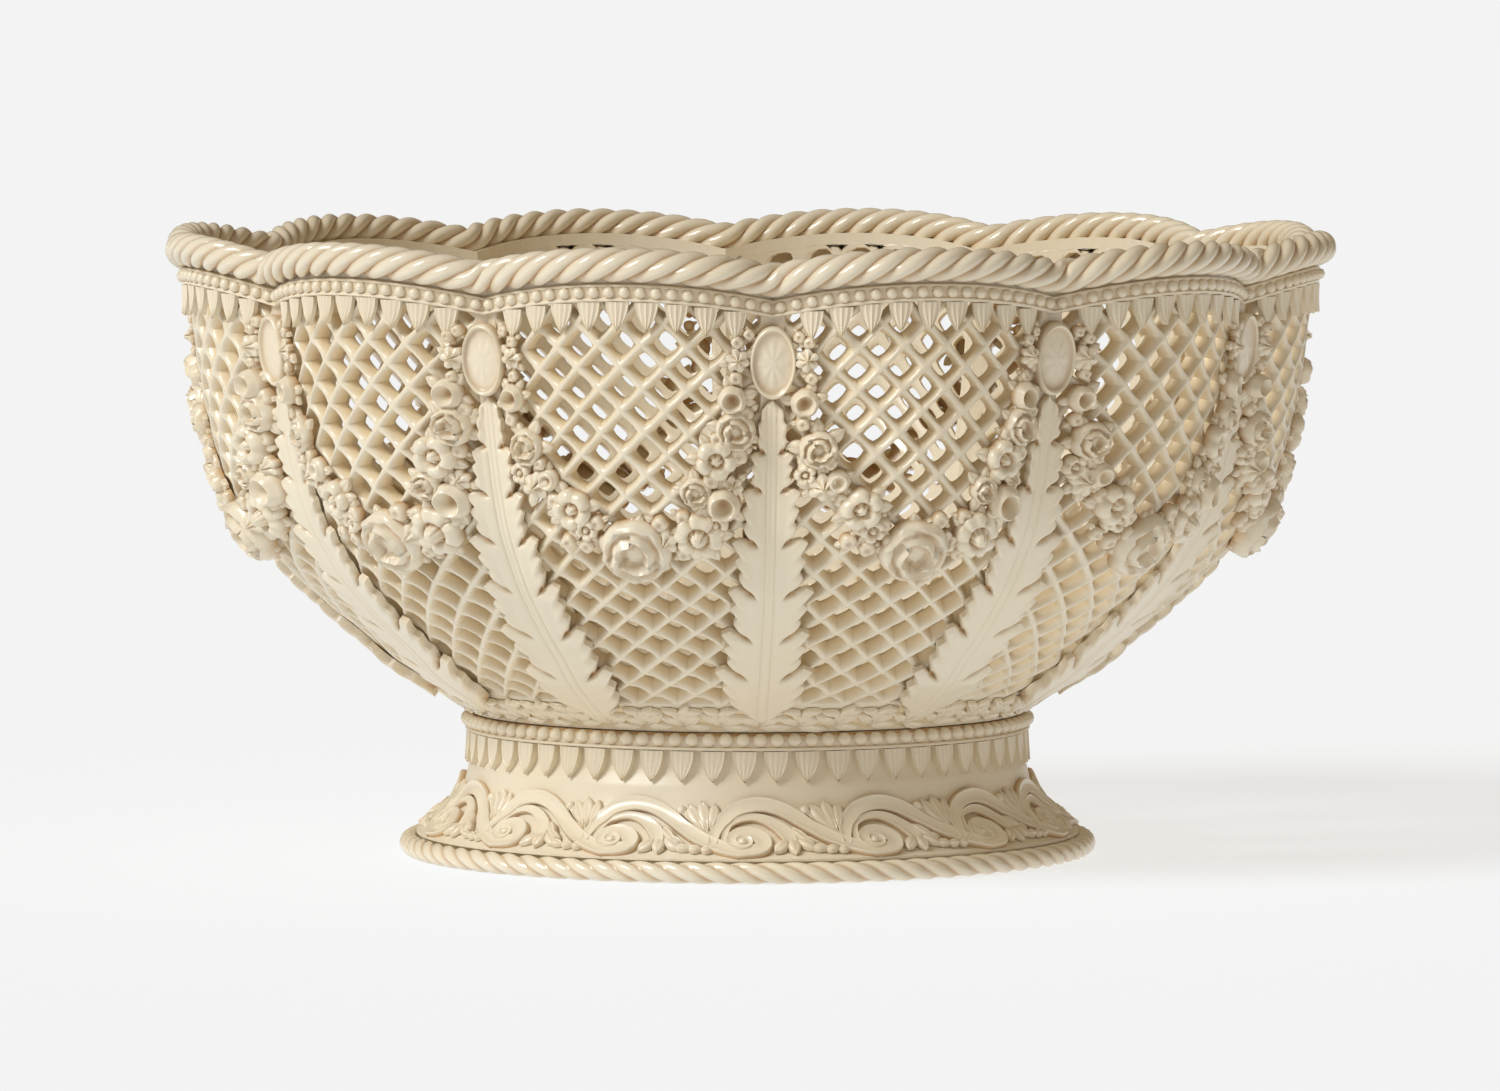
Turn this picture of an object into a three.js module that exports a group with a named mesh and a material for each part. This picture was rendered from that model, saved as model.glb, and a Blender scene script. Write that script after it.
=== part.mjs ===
// Footed openwork basket bowl in cream glazed earthenware.
//
// The bowl stands on a hollow turned foot. Its wall is pierced with diagonal openwork and swells out
// into twelve lobes, which meet in valleys. Each valley carries an oval medallion and a long acanthus
// leaf, and each lobe a hanging flower garland. A rope finishes the rim and another the foot.
//
// Millimetres, +Z up, origin on the floor under the middle of the foot. An angle is measured round the
// axis from the front (-Y) towards +X, and a valley lies at angle zero.
import * as THREE from "three";
import { mergeVertices } from "three/addons/utils/BufferGeometryUtils.js";

// Overall form
const rimDiameter = 305.6;
const bowlHeight = 161.8;
const lobeCount = 12;
const lobeDepth = 7.4;
const rimWave = 4.2;
const seatGap = 0.3;

// Wall
const wallThickness = 4.5;
const wallFootRadius = 71.5;
const panelStart = 9;
const sideStrip = 4.6;
const topStrip = 9.5;
const bottomStrip = 3;
const latticePitch = 16;
const openShare = 0.6;
const lobeMeanShare = 2 / 3;
const lobeFullShare = 0.75;
// The outer face in a valley, as shares of its radial and its upward reach, from foot to rim.
const wallOutlineShares = [
  [0, 0], [0.125, 0.054], [0.295, 0.122], [0.398, 0.181], [0.516, 0.244], [0.619, 0.307], [0.693, 0.357],
  [0.76, 0.416], [0.83, 0.488], [0.892, 0.596], [0.944, 0.732], [0.978, 0.858], [1, 1],
];

// Rim
const ropeDiameter = 8.6;
const ropeSetOut = 1.8;
const beadBandHeight = 4.4;
const beadBandDepth = 2.7;
const bandBevelShare = 0.2;
const tongueLength = 7.2;
const tongueThickness = 1.6;
const tonguesPerLobe = 10;
const tongueRootShare = 0.15;

// Medallion
const medallionWidth = 11.4;
const medallionHeight = 18;
const medallionDrop = 15.1;
const medallionDepth = 4.6;
const medallionDish = 0.8;

// Acanthus leaf
const leafWidth = 20;
const leafDepth = 4.4;
const leafEdge = 0.6;
const leafBedding = 0.35;
const leafTipDrop = 24.5;
const leafLobeRise = 3.2;
const leafLobes = 6;
const leafNotchShare = 0.64;
const leafWidthShares = [0.8, 0.96, 1, 0.94, 0.8, 0.62, 0.4];
const leafRibShares = [0.8, 1, 1, 1, 1, 0.9, 0.8];

// Flower garland
const garlandTopDrop = 24;
const garlandDrop = 38;
const garlandFlower = 7.4;
const garlandDepth = 4.2;
const garlandBedding = 0.5;
const stemShare = 0.24;
const flowerFlatShare = 0.45;
// Each flower: place across the half lobe, place down the drop, and size.
const flowerShares = [
  [-0.81, 0, 0.44], [-0.71, 0.3, 0.58], [-0.57, 0.58, 0.52], [-0.36, 0.77, 0.62], [0.02, 1, 1],
  [0.44, 0.88, 0.72], [0.6, 0.66, 0.54], [0.63, 0.42, 0.62], [0.75, 0.2, 0.6], [0.78, 0, 0.46],
];

// Base dish
const dishEdge = 1.1;
const floorThickness = 5;
const borderSwell = 1.2;

// Foot
const footHeight = 36.6;
const footDiameter = 180;
const footRopeDiameter = 6;
const footLedgeRise = 1;
const footWall = 5;
const footShoulderRadius = 72;
const footNeckRadius = 70.4;
const footNeckHeight = 13;
// The outer face between the ledge over the rope and the shoulder under the neck, as shares of its fall
// in radius and rise in height.
const footOutlineShares = [[0, 0], [0.2, 0.1], [0.45, 0.25], [0.69, 0.42], [0.89, 0.69], [1, 1]];
const footBeadHeight = 4.4;
const footBeadDepth = 3.2;
const footBeadShare = 0.4;
const footTongues = 57;
const footTongueLength = 7.7;
const footTongueThickness = 1.6;

// Scroll frieze
const scrollCount = 15;
const scrollLowGap = 0.6;
const scrollTopGap = 3;
const scrollWidth = 3.4;
const scrollDepth = 1.3;
const scrollBedding = 0.2;
const scrollStartShare = -0.17;
// One wave of the running scroll: places along it, as shares of its length and of its half height. It
// starts at an eye, rises to the crest, sweeps down, passes under the next eye and curls up into it.
const scrollShares = [
  [0, 0.1], [-0.09, 0.45], [0.04, 1], [0.23, 0.72], [0.42, 0], [0.62, -0.7], [1, -1], [1.17, -0.35],
  [1.1, 0.2],
];

// Fineness of the facets
const ropeSteps = 6;
const ropeSides = 6;
const roundSteps = 40;
const footSteps = 4;
const panelSideSteps = 8;
const panelTopSteps = 6;
const panelBottomSteps = 4;
const medallionSides = 12;

const turn = 2 * Math.PI;
const lobeAngle = turn / lobeCount;
const halfLobe = lobeAngle / 2;
const weldReach = seatGap / 100;
const ropeRadius = ropeDiameter / 2;
const footRopeRadius = footRopeDiameter / 2;
const ropeValleyRadius = rimDiameter / 2 - ropeRadius - lobeDepth;
const ropeValleyHeight = bowlHeight - ropeRadius - rimWave;
const wallTopRadius = ropeValleyRadius - ropeSetOut;
const wallTopHeight = ropeValleyHeight - ropeRadius - seatGap;
const wallFootHeight = footHeight + seatGap + dishEdge;

const wallOutline = new THREE.SplineCurve(
  wallOutlineShares.map(
    ([out, up]) =>
      new THREE.Vector2(
        wallFootRadius + (wallTopRadius - wallFootRadius) * out,
        wallFootHeight + (wallTopHeight - wallFootHeight) * up,
      ),
  ),
);
const wallLength = wallOutline.getLength();

// A closed surface gathered from points and facets.
class Facets {
  constructor() {
    this.points = [];
    this.faces = [];
  }

  point(place) {
    this.points.push(place.x, place.y, place.z);
    return this.points.length / 3 - 1;
  }

  triangle(a, b, c) {
    this.faces.push(a, b, c);
  }

  quad(a, b, c, d) {
    this.triangle(a, b, c);
    this.triangle(a, c, d);
  }

  geometry() {
    const shape = new THREE.BufferGeometry();
    shape.setAttribute("position", new THREE.Float32BufferAttribute(this.points, 3));
    shape.setIndex(this.faces);
    shape.computeVertexNormals();
    return shape;
  }
}

// A point at an angle round the axis, a radius and a height.
function roundPoint(angle, radius, height) {
  return new THREE.Vector3(radius * Math.sin(angle), -radius * Math.cos(angle), height);
}

// How far out the lobe stands at an angle: nothing in a valley, one in the middle of a lobe.
function lobeShare(angle) {
  const place = angle / lobeAngle;
  const across = 2 * (place - Math.floor(place)) - 1;
  return 1 - across * across;
}

// An outline at a length along it, with its outward normal. It runs on straight past the ends.
function alongOutline(outline, length) {
  const whole = outline.getLength();
  const share = THREE.MathUtils.clamp(length / whole, 0, 1);
  const point = outline.getPointAt(share);
  const along = outline.getTangentAt(share);
  const past = length - share * whole;
  return {
    radius: point.x + along.x * past,
    height: point.y + along.y * past,
    normal: new THREE.Vector2(along.y, -along.x),
  };
}

function outlineAt(length) {
  return alongOutline(wallOutline, length);
}

function lobeDepthAt(length) {
  return lobeDepth * THREE.MathUtils.smoothstep(length / (wallLength * lobeFullShare), 0, 1);
}

// A point on the wall's outer face, lifted off it by an amount.
function wallPoint(angle, length, lift) {
  const { radius, height, normal } = outlineAt(length);
  const out = radius + lobeDepthAt(length) * lobeShare(angle);
  return roundPoint(angle, out + lift * normal.x, height + lift * normal.y);
}

function meanRadiusAt(length) {
  return outlineAt(length).radius + lobeMeanShare * lobeDepthAt(length);
}

// The length along the outline at which it stands at a height, found by halving.
function lengthAtHeight(height) {
  let low = 0;
  let high = wallLength;
  while (high - low > weldReach) {
    const middle = (low + high) / 2;
    if (outlineAt(middle).height < height) {
      low = middle;
    } else {
      high = middle;
    }
  }
  return (low + high) / 2;
}

// The wall's top edge rises and falls with the lobes.
function topLengthAt(angle) {
  return wallLength + rimWave * lobeShare(angle);
}

// Fills the strip between two closed chains that run the same way round, the outer one first.
function fillStrip(body, outer, inner, facing) {
  const area = (a, b, c) => (b.u - a.u) * (c.v - a.v) - (b.v - a.v) * (c.u - a.u);
  const gap = (a, b) => Math.hypot(a.u - b.u, a.v - b.v);
  let start = 0;
  inner.forEach((point, k) => {
    if (gap(point, outer[0]) < gap(inner[start], outer[0])) {
      start = k;
    }
  });
  const near = inner.map((_, k) => inner[(start + k) % inner.length]);
  const face = (a, b, c) => (facing > 0 ? body.triangle(a, b, c) : body.triangle(a, c, b));
  let i = 0;
  let j = 0;
  while (i < outer.length || j < near.length) {
    const here = outer[i % outer.length];
    const next = outer[(i + 1) % outer.length];
    const from = near[j % near.length];
    const to = near[(j + 1) % near.length];
    const outerFits = i < outer.length && area(here, next, from) > 0;
    const innerFits = j < near.length && area(here, to, from) > 0;
    const outerBetter = gap(next, from) < gap(here, to);
    if (j === near.length || (outerFits && (!innerFits || outerBetter))) {
      face(here.index, next.index, from.index);
      i += 1;
    } else {
      face(here.index, to.index, from.index);
      j += 1;
    }
  }
}

// The rim of one panel, anticlockwise as seen from outside, in mm across and along the wall.
function panelRim(halfWidthAt, topAt) {
  const rim = [];
  const bottomHalf = halfWidthAt(panelStart);
  for (let k = 0; k < panelBottomSteps; k += 1) {
    rim.push({ u: bottomHalf * (2 * (k / panelBottomSteps) - 1), v: panelStart });
  }
  const sideTop = topAt(1);
  for (let k = 0; k < panelSideSteps; k += 1) {
    const v = panelStart + (sideTop - panelStart) * (k / panelSideSteps);
    rim.push({ u: halfWidthAt(v), v });
  }
  for (let k = 0; k < panelTopSteps; k += 1) {
    const across = 1 - 2 * (k / panelTopSteps);
    rim.push({ u: halfWidthAt(topAt(across)) * across, v: topAt(across) });
  }
  for (let k = panelSideSteps; k > 0; k -= 1) {
    const v = panelStart + (sideTop - panelStart) * (k / panelSideSteps);
    rim.push({ u: -halfWidthAt(v), v });
  }
  return rim;
}

// One pierced panel of the wall, from valley to valley. Ridges cross at the outer face and slope in to
// the smaller holes of the inner face, so each hole is a funnel with four sides.
function panelGeometry() {
  const body = new Facets();
  const halfWidthAt = (v) => meanRadiusAt(v) * halfLobe - seatGap / 2;
  const topAt = (across) => topLengthAt(halfLobe * (1 + across));
  const place = (u, v, lift) => wallPoint(halfLobe + u / meanRadiusAt(v), v, lift);
  const start = panelStart + bottomStrip;
  const end = wallLength - topStrip;
  const halfPitch = latticePitch / 2;
  const rows = Math.floor((end - start) / halfPitch);
  const rowStep = (end - start) / rows;

  // A crossing of two ridges. The rows rise in mid lobe as the rim does.
  const crossing = (i, j) => {
    const level = start + j * rowStep;
    const across = (i * halfPitch) / halfWidthAt(level);
    return { u: i * halfPitch, v: level + rimWave * (1 - across * across) * (j / rows) };
  };
  const fits = ({ u, v }) => Math.abs(u) <= halfWidthAt(v) - sideStrip;
  const sides = [[1, 0], [0, 1], [-1, 0], [0, -1]];
  const cells = new Map();
  const columns = Math.ceil(halfWidthAt(end) / halfPitch);
  for (let j = 1; j < rows; j += 1) {
    for (let i = -columns; i <= columns; i += 1) {
      const corners = sides.map(([di, dj]) => crossing(i + di, j + dj));
      if ((i + j) % 2 !== 0 && corners.every(fits)) {
        cells.set(`${i},${j}`, { i, j });
      }
    }
  }

  const ridgePoints = new Map();
  const ridgeAt = (i, j) => {
    const key = `${i},${j}`;
    if (!ridgePoints.has(key)) {
      const spot = crossing(i, j);
      ridgePoints.set(key, { ...spot, key, index: body.point(place(spot.u, spot.v, 0)) });
    }
    return ridgePoints.get(key);
  };
  cells.forEach((cell) => {
    const corners = sides.map(([di, dj]) => ridgeAt(cell.i + di, cell.j + dj));
    const middle = {
      u: corners.reduce((sum, corner) => sum + corner.u, 0) / corners.length,
      v: corners.reduce((sum, corner) => sum + corner.v, 0) / corners.length,
    };
    cell.corners = corners;
    cell.hole = corners.map((corner) => {
      const u = middle.u + (corner.u - middle.u) * openShare;
      const v = middle.v + (corner.v - middle.v) * openShare;
      return { u, v, index: body.point(place(u, v, -wallThickness)) };
    });
    corners.forEach((corner, k) => {
      const next = (k + 1) % corners.length;
      body.quad(corner.index, corners[next].index, cell.hole[next].index, cell.hole[k].index);
    });
  });

  // Ridges between two holes are closed on the inner face; the others bound the solid border.
  const edges = new Map();
  cells.forEach((cell) => {
    cell.corners.forEach((corner, k) => {
      const next = (k + 1) % cell.corners.length;
      edges.set(`${corner.key}>${cell.corners[next].key}`, { cell, k, next });
    });
  });
  const border = new Map();
  edges.forEach((edge, key) => {
    const [from, to] = key.split(">");
    const other = edges.get(`${to}>${from}`);
    if (!other) {
      border.set(from, { ...edge, to });
    } else if (from < to) {
      const { cell, k, next } = edge;
      const [a, b] = [cell.hole[k].index, cell.hole[next].index];
      body.quad(a, b, other.cell.hole[other.k].index, other.cell.hole[other.next].index);
    }
  });
  ridgePoints.forEach((point) => {
    const [i, j] = point.key.split(",").map(Number);
    const round = sides.map(([di, dj]) => cells.get(`${i + di},${j + dj}`));
    const found = round
      .map((cell, k) => cell && cell.hole[(k + 2) % sides.length].index)
      .filter((index) => index !== undefined);
    if (found.length === 4) {
      body.quad(found[3], found[2], found[1], found[0]);
    } else if (found.length === 3) {
      body.triangle(found[2], found[1], found[0]);
    }
  });

  const ridgeChain = [];
  const holeChain = [];
  const first = border.keys().next().value;
  let key = first;
  do {
    const { cell, k, next, to } = border.get(key);
    ridgeChain.push(cell.corners[k]);
    [cell.hole[k], cell.hole[next]].forEach((spot) => {
      if (holeChain.at(-1) !== spot && holeChain[0] !== spot) {
        holeChain.push(spot);
      }
    });
    key = to;
  } while (key !== first);

  const rim = panelRim(halfWidthAt, topAt);
  const outer = rim.map(({ u, v }) => ({ u, v, index: body.point(place(u, v, 0)) }));
  const inner = rim.map(({ u, v }) => ({ u, v, index: body.point(place(u, v, -wallThickness)) }));
  fillStrip(body, outer, ridgeChain, 1);
  fillStrip(body, inner, holeChain, -1);
  outer.forEach((spot, k) => {
    const next = (k + 1) % outer.length;
    body.quad(spot.index, inner[k].index, inner[next].index, outer[next].index);
  });
  return body.geometry();
}

// A ring whose section is carried round the axis: sectionAt gives the section's points at a step, in
// order anticlockwise as seen looking along the way round, with the axis on the left.
function ringGeometry(steps, sectionAt) {
  const body = new Facets();
  const rings = [];
  for (let step = 0; step < steps; step += 1) {
    rings.push(sectionAt(step).map((place) => body.point(place)));
  }
  rings.forEach((ring, step) => {
    const next = rings[(step + 1) % steps];
    ring.forEach((index, k) => {
      const other = (k + 1) % ring.length;
      body.quad(index, next[k], next[other], ring[other]);
    });
  });
  return body.geometry();
}

// The rope that crowns the rim: a round bar that follows the lobes in and out, up and down.
function rimRopeGeometry() {
  const steps = lobeCount * ropeSteps;
  return ringGeometry(steps, (step) => {
    const angle = (step / steps) * turn;
    const radius = ropeValleyRadius + lobeDepth * lobeShare(angle);
    const height = ropeValleyHeight + rimWave * lobeShare(angle);
    return Array.from({ length: ropeSides }, (_, k) => {
      const round = ((k + 1 / 2) / ropeSides) * turn;
      const out = (ropeRadius * Math.cos(round)) / Math.cos(turn / ropeSides / 2);
      return roundPoint(angle, radius + out, height + ropeRadius * Math.sin(round));
    });
  });
}

// The bead band under the rope: a swelling strip against the wall's top.
function rimBeadBandGeometry() {
  const steps = lobeCount * ropeSteps;
  return ringGeometry(steps, (step) => {
    const angle = (step / steps) * turn;
    const top = topLengthAt(angle);
    const bottom = top - beadBandHeight;
    return [
      wallPoint(angle, bottom, seatGap),
      wallPoint(angle, bottom + beadBandHeight * bandBevelShare, seatGap + beadBandDepth),
      wallPoint(angle, top, seatGap + beadBandDepth),
      wallPoint(angle, top, seatGap),
    ];
  });
}

// A hanging row of pointed tongues: its top edge is plain and its lower edge drops to a tip at each
// odd step. edgeAt gives the back and front points of the top edge and the lower edge's point.
function tongueRingGeometry(steps, edgeAt) {
  const body = new Facets();
  const columns = [];
  for (let step = 0; step < steps; step += 1) {
    const { back, front, low } = edgeAt(step);
    const isTip = step % 2 === 1;
    columns.push({
      back: isTip ? null : body.point(back),
      front: isTip ? null : body.point(front),
      low: body.point(low),
    });
  }
  for (let step = 0; step < steps; step += 2) {
    const here = columns[step];
    const tip = columns[step + 1];
    const next = columns[(step + 2) % steps];
    body.quad(here.back, here.front, next.front, next.back);
    body.triangle(here.front, here.low, tip.low);
    body.triangle(here.front, tip.low, next.front);
    body.triangle(next.front, tip.low, next.low);
    body.triangle(here.back, tip.low, here.low);
    body.triangle(here.back, next.back, tip.low);
    body.triangle(next.back, next.low, tip.low);
  }
  return body.geometry();
}

// The tongues under the bead band. None hangs beside a valley, where the medallion stands.
function rimTongueGeometry() {
  const steps = lobeCount * tonguesPerLobe * 2;
  return tongueRingGeometry(steps, (step) => {
    const angle = (step / steps) * turn;
    const top = topLengthAt(angle) - beadBandHeight - seatGap;
    const tongue = Math.floor(step / 2) % tonguesPerLobe;
    const hangs = step % 2 === 1 && tongue > 0 && tongue < tonguesPerLobe - 1;
    const root = top - tongueLength * tongueRootShare;
    return {
      back: wallPoint(angle, top, seatGap),
      front: wallPoint(angle, top, seatGap + tongueThickness),
      low: wallPoint(angle, hangs ? top - tongueLength : root, seatGap + tongueThickness / 2),
    };
  });
}

// A point on the flat face plane of a valley's ornament: across, along and out from the valley line.
function valleyPoint(across, length, lift) {
  const { radius, height, normal } = outlineAt(length);
  const point = roundPoint(0, radius + lift * normal.x, height + lift * normal.y);
  point.x += across;
  return point;
}

// The oval medallion: its back follows the valley, its face is flat with a dished field.
function medallionGeometry() {
  const body = new Facets();
  const middle = wallLength - medallionDrop;
  const spots = Array.from({ length: medallionSides }, (_, k) => {
    const round = (k / medallionSides) * turn;
    return [(medallionWidth / 2) * Math.cos(round), (medallionHeight / 2) * Math.sin(round)];
  });
  const back = spots.map(([across, up]) => {
    const length = middle + up;
    return body.point(wallPoint(across / outlineAt(length).radius, length, seatGap));
  });
  const face = spots.map(([across, up]) => body.point(valleyPoint(across, middle + up, medallionDepth)));
  const field = body.point(valleyPoint(0, middle, medallionDepth - medallionDish));
  const seat = body.point(wallPoint(0, middle, seatGap));
  spots.forEach((_, k) => {
    const next = (k + 1) % spots.length;
    body.quad(back[k], back[next], face[next], face[k]);
    body.triangle(face[k], face[next], field);
    body.triangle(back[next], back[k], seat);
  });
  return body.geometry();
}

// The long acanthus leaf over a valley: a raised midrib, and lobes that step in to a notch and out to
// a tip, up each side. The back follows the valley.
function acanthusLeafGeometry() {
  const body = new Facets();
  const foot = panelStart;
  const tip = wallLength - leafTipDrop;
  const pitch = (tip - foot) / (leafLobes + 1);
  const at = (across, length, lift) => body.point(wallPoint(across / outlineAt(length).radius, length, lift));
  const ribs = [];
  const seats = [];
  const edges = [[], []];
  for (let k = 0; k <= leafLobes; k += 1) {
    const length = foot + k * pitch;
    const half = (leafWidth / 2) * leafWidthShares[k];
    ribs.push(at(0, length, seatGap + leafDepth * leafRibShares[k]));
    seats.push(at(0, length, seatGap + leafBedding));
    [1, -1].forEach((side, s) => {
      edges[s].push(at(side * half * leafNotchShare, length, seatGap + leafEdge));
      if (k < leafLobes) {
        edges[s].push(at(side * half, length + pitch / 2 + leafLobeRise, seatGap + leafEdge));
      }
    });
  }
  const top = at(0, tip, seatGap + leafEdge);
  ribs.push(top);
  seats.push(top);
  edges.forEach((edge, s) => {
    const face = (a, b, c) => (s === 0 ? body.triangle(a, b, c) : body.triangle(a, c, b));
    for (let k = 0; k < leafLobes; k += 1) {
      const [notch, point, above] = [edge[2 * k], edge[2 * k + 1], edge[2 * k + 2]];
      [[ribs, face], [seats, (a, b, c) => face(a, c, b)]].forEach(([line, put]) => {
        put(line[k], notch, point);
        put(line[k], point, line[k + 1]);
        put(line[k + 1], point, above);
      });
    }
    face(ribs[leafLobes], edge.at(-1), top);
    face(seats[leafLobes], top, edge.at(-1));
    face(ribs[0], seats[0], edge[0]);
  });
  return body.geometry();
}

// The flower garland of a lobe: flowers as low six-sided swellings along a hanging string that narrows to
// a stem between them. Each cross section is a triangle with its base on the wall.
function garlandGeometry() {
  const body = new Facets();
  const top = outlineAt(wallLength - garlandTopDrop).height;
  const flowers = flowerShares.map(([across, down, size]) => {
    const length = lengthAtHeight(top - garlandDrop * down);
    const u = across * meanRadiusAt(length) * halfLobe;
    return { u, v: length, size: garlandFlower * size, isFlower: true };
  });
  const spots = [];
  flowers.forEach((flower, k) => {
    spots.push(flower);
    const next = flowers[k + 1];
    if (next) {
      const size = Math.min(flower.size, next.size) * stemShare;
      spots.push({ u: (flower.u + next.u) / 2, v: (flower.v + next.v) / 2, size, isFlower: false });
    }
  });
  const rings = spots.flatMap(({ u, v, size, isFlower }, k) => {
    const before = spots[Math.max(k - 1, 0)];
    const after = spots[Math.min(k + 1, spots.length - 1)];
    const way = new THREE.Vector2(after.u - before.u, after.v - before.v).normalize();
    const put = (along, side, lift) => {
      const length = v + along * size * way.y - side * size * way.x;
      const angle = halfLobe + (u + along * size * way.x + side * size * way.y) / meanRadiusAt(length);
      return body.point(wallPoint(angle, length, lift));
    };
    const low = seatGap + garlandBedding;
    const crest = low + garlandDepth * Math.sqrt(size / garlandFlower);
    const ends = isFlower ? [-flowerFlatShare, flowerFlatShare] : [0];
    return ends.map((along) => [put(along, 1, low), put(along, 0, crest), put(along, -1, low)]);
  });
  for (let k = 0; k + 1 < rings.length; k += 1) {
    for (let side = 0; side < 3; side += 1) {
      const other = (side + 1) % 3;
      body.quad(rings[k][side], rings[k + 1][side], rings[k + 1][other], rings[k][other]);
    }
  }
  const last = rings.at(-1);
  body.triangle(rings[0][0], rings[0][1], rings[0][2]);
  body.triangle(last[2], last[1], last[0]);
  return body.geometry();
}

// A turned piece: an outline of radius and height carried round the axis.
function turnedGeometry(outline, steps = roundSteps) {
  const points = outline.map(([radius, height]) => new THREE.Vector2(radius, height));
  const shape = new THREE.LatheGeometry(points, steps);
  shape.deleteAttribute("normal");
  shape.deleteAttribute("uv");
  shape.rotateX(turn / 4);
  return mergeVertices(shape, weldReach);
}

// The base dish: a flat floor whose edge sweeps up into the first of the wall, with the swelling of
// the moulded border outside it.
function baseDishGeometry() {
  const end = panelStart - seatGap;
  const edgeAt = (length, lift) => {
    const { radius, height, normal } = outlineAt(length);
    return [radius + lift * normal.x, height + lift * normal.y];
  };
  const under = footHeight + seatGap;
  const floor = under + floorThickness;
  const [innerRadius] = edgeAt(end, -wallThickness);
  return turnedGeometry([
    [0, under],
    [wallFootRadius, under],
    edgeAt(0, 0),
    edgeAt(end / 3, borderSwell),
    edgeAt(end * (2 / 3), borderSwell),
    edgeAt(end, 0),
    edgeAt(end, -wallThickness),
    [innerRadius - floorThickness, floor],
    [0, floor],
  ]);
}

// The foot's outer face, from the ledge over the rope to the shoulder under the neck.
const footEdgeRadius = footDiameter / 2 - footRopeDiameter - seatGap;
const footLedgeHeight = footRopeDiameter + footLedgeRise;
const footShoulderHeight = footHeight - footNeckHeight;
const footOutline = new THREE.SplineCurve(
  footOutlineShares.map(
    ([fall, rise]) =>
      new THREE.Vector2(
        footEdgeRadius - (footEdgeRadius - footShoulderRadius) * fall,
        footLedgeHeight + (footShoulderHeight - footLedgeHeight) * rise,
      ),
  ),
);

function footGeometry() {
  const outside = footOutline.getPoints(footSteps).map((point) => [point.x, point.y]);
  const inside = outside.map(([radius, height]) => [radius - footWall, height]).reverse();
  return turnedGeometry([
    [footEdgeRadius, 0],
    ...outside,
    [footNeckRadius, footShoulderHeight],
    [footNeckRadius, footHeight],
    [footNeckRadius - footWall, footHeight],
    ...inside,
    [footEdgeRadius - footWall, 0],
    [footEdgeRadius, 0],
  ]);
}

// The bead ring at the top of the foot.
function footBeadRingGeometry() {
  const back = footNeckRadius + seatGap;
  const low = footHeight - footBeadHeight;
  return turnedGeometry([
    [back, low],
    [back + footBeadDepth * footBeadShare, low],
    [back + footBeadDepth, low + footBeadHeight / 2],
    [back + footBeadDepth * footBeadShare, footHeight],
    [back, footHeight],
    [back, low],
  ]);
}

function footTongueGeometry() {
  const steps = footTongues * 2;
  const top = footHeight - footBeadHeight - seatGap;
  const back = footNeckRadius + seatGap;
  return tongueRingGeometry(steps, (step) => {
    const angle = (step / steps) * turn;
    const drop = step % 2 === 1 ? footTongueLength : footTongueLength * tongueRootShare;
    return {
      back: roundPoint(angle, back, top),
      front: roundPoint(angle, back + footTongueThickness, top),
      low: roundPoint(angle, back + footTongueThickness / 2, top - drop),
    };
  });
}

function footRopeGeometry() {
  const middle = footDiameter / 2 - footRopeRadius;
  return ringGeometry(roundSteps, (step) => {
    const angle = (step / roundSteps) * turn;
    return Array.from({ length: ropeSides }, (_, k) => {
      const round = (k / ropeSides) * turn;
      const height = footRopeRadius * (1 + Math.sin(round) / Math.sin(turn / ropeSides));
      return roundPoint(angle, middle + footRopeRadius * Math.cos(round), height);
    });
  });
}

// The running scroll round the foot: one unbroken ribbon with a ridge, from eye to eye.
function scrollFriezeGeometry() {
  const steps = scrollCount * scrollShares.length;
  const low = seatGap + scrollBedding;
  const half = (footOutline.getLength() - scrollLowGap - scrollTopGap - scrollWidth) / 2;
  const middle = scrollLowGap + scrollWidth / 2 + half;
  const spotAt = (step) => {
    const wave = Math.floor(step / scrollShares.length);
    const [along, up] = scrollShares[step - wave * scrollShares.length];
    const length = middle + half * up;
    const angle = ((wave + along + scrollStartShare) / scrollCount) * turn;
    return { angle, length, radius: alongOutline(footOutline, length).radius };
  };
  const place = (angle, length, lift) => {
    const { radius, height, normal } = alongOutline(footOutline, length);
    return roundPoint(angle, radius + lift * normal.x, height + lift * normal.y);
  };
  return ringGeometry(steps, (step) => {
    const { angle, length, radius } = spotAt(step);
    const [before, after] = [spotAt(step - 1), spotAt(step + 1)];
    const way = new THREE.Vector2((after.angle - before.angle) * radius, after.length - before.length);
    way.normalize().multiplyScalar(scrollWidth / 2);
    return [
      place(angle + way.y / radius, length - way.x, low),
      place(angle, length, low + scrollDepth),
      place(angle - way.y / radius, length + way.x, low),
    ];
  });
}

const group = new THREE.Group();
group.name = "footed_openwork_bowl";

function add(name, geometry, colour, roughness, angle = 0) {
  const material = new THREE.MeshStandardMaterial({ color: colour, roughness, metalness: 0 });
  const mesh = new THREE.Mesh(geometry, material);
  mesh.name = name;
  mesh.rotation.z = angle;
  group.add(mesh);
}

function addRound(name, geometry, colour, roughness) {
  for (let k = 0; k < lobeCount; k += 1) {
    add(`${name}_${String(k + 1).padStart(2, "0")}`, geometry, colour, roughness, k * lobeAngle);
  }
}

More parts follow.
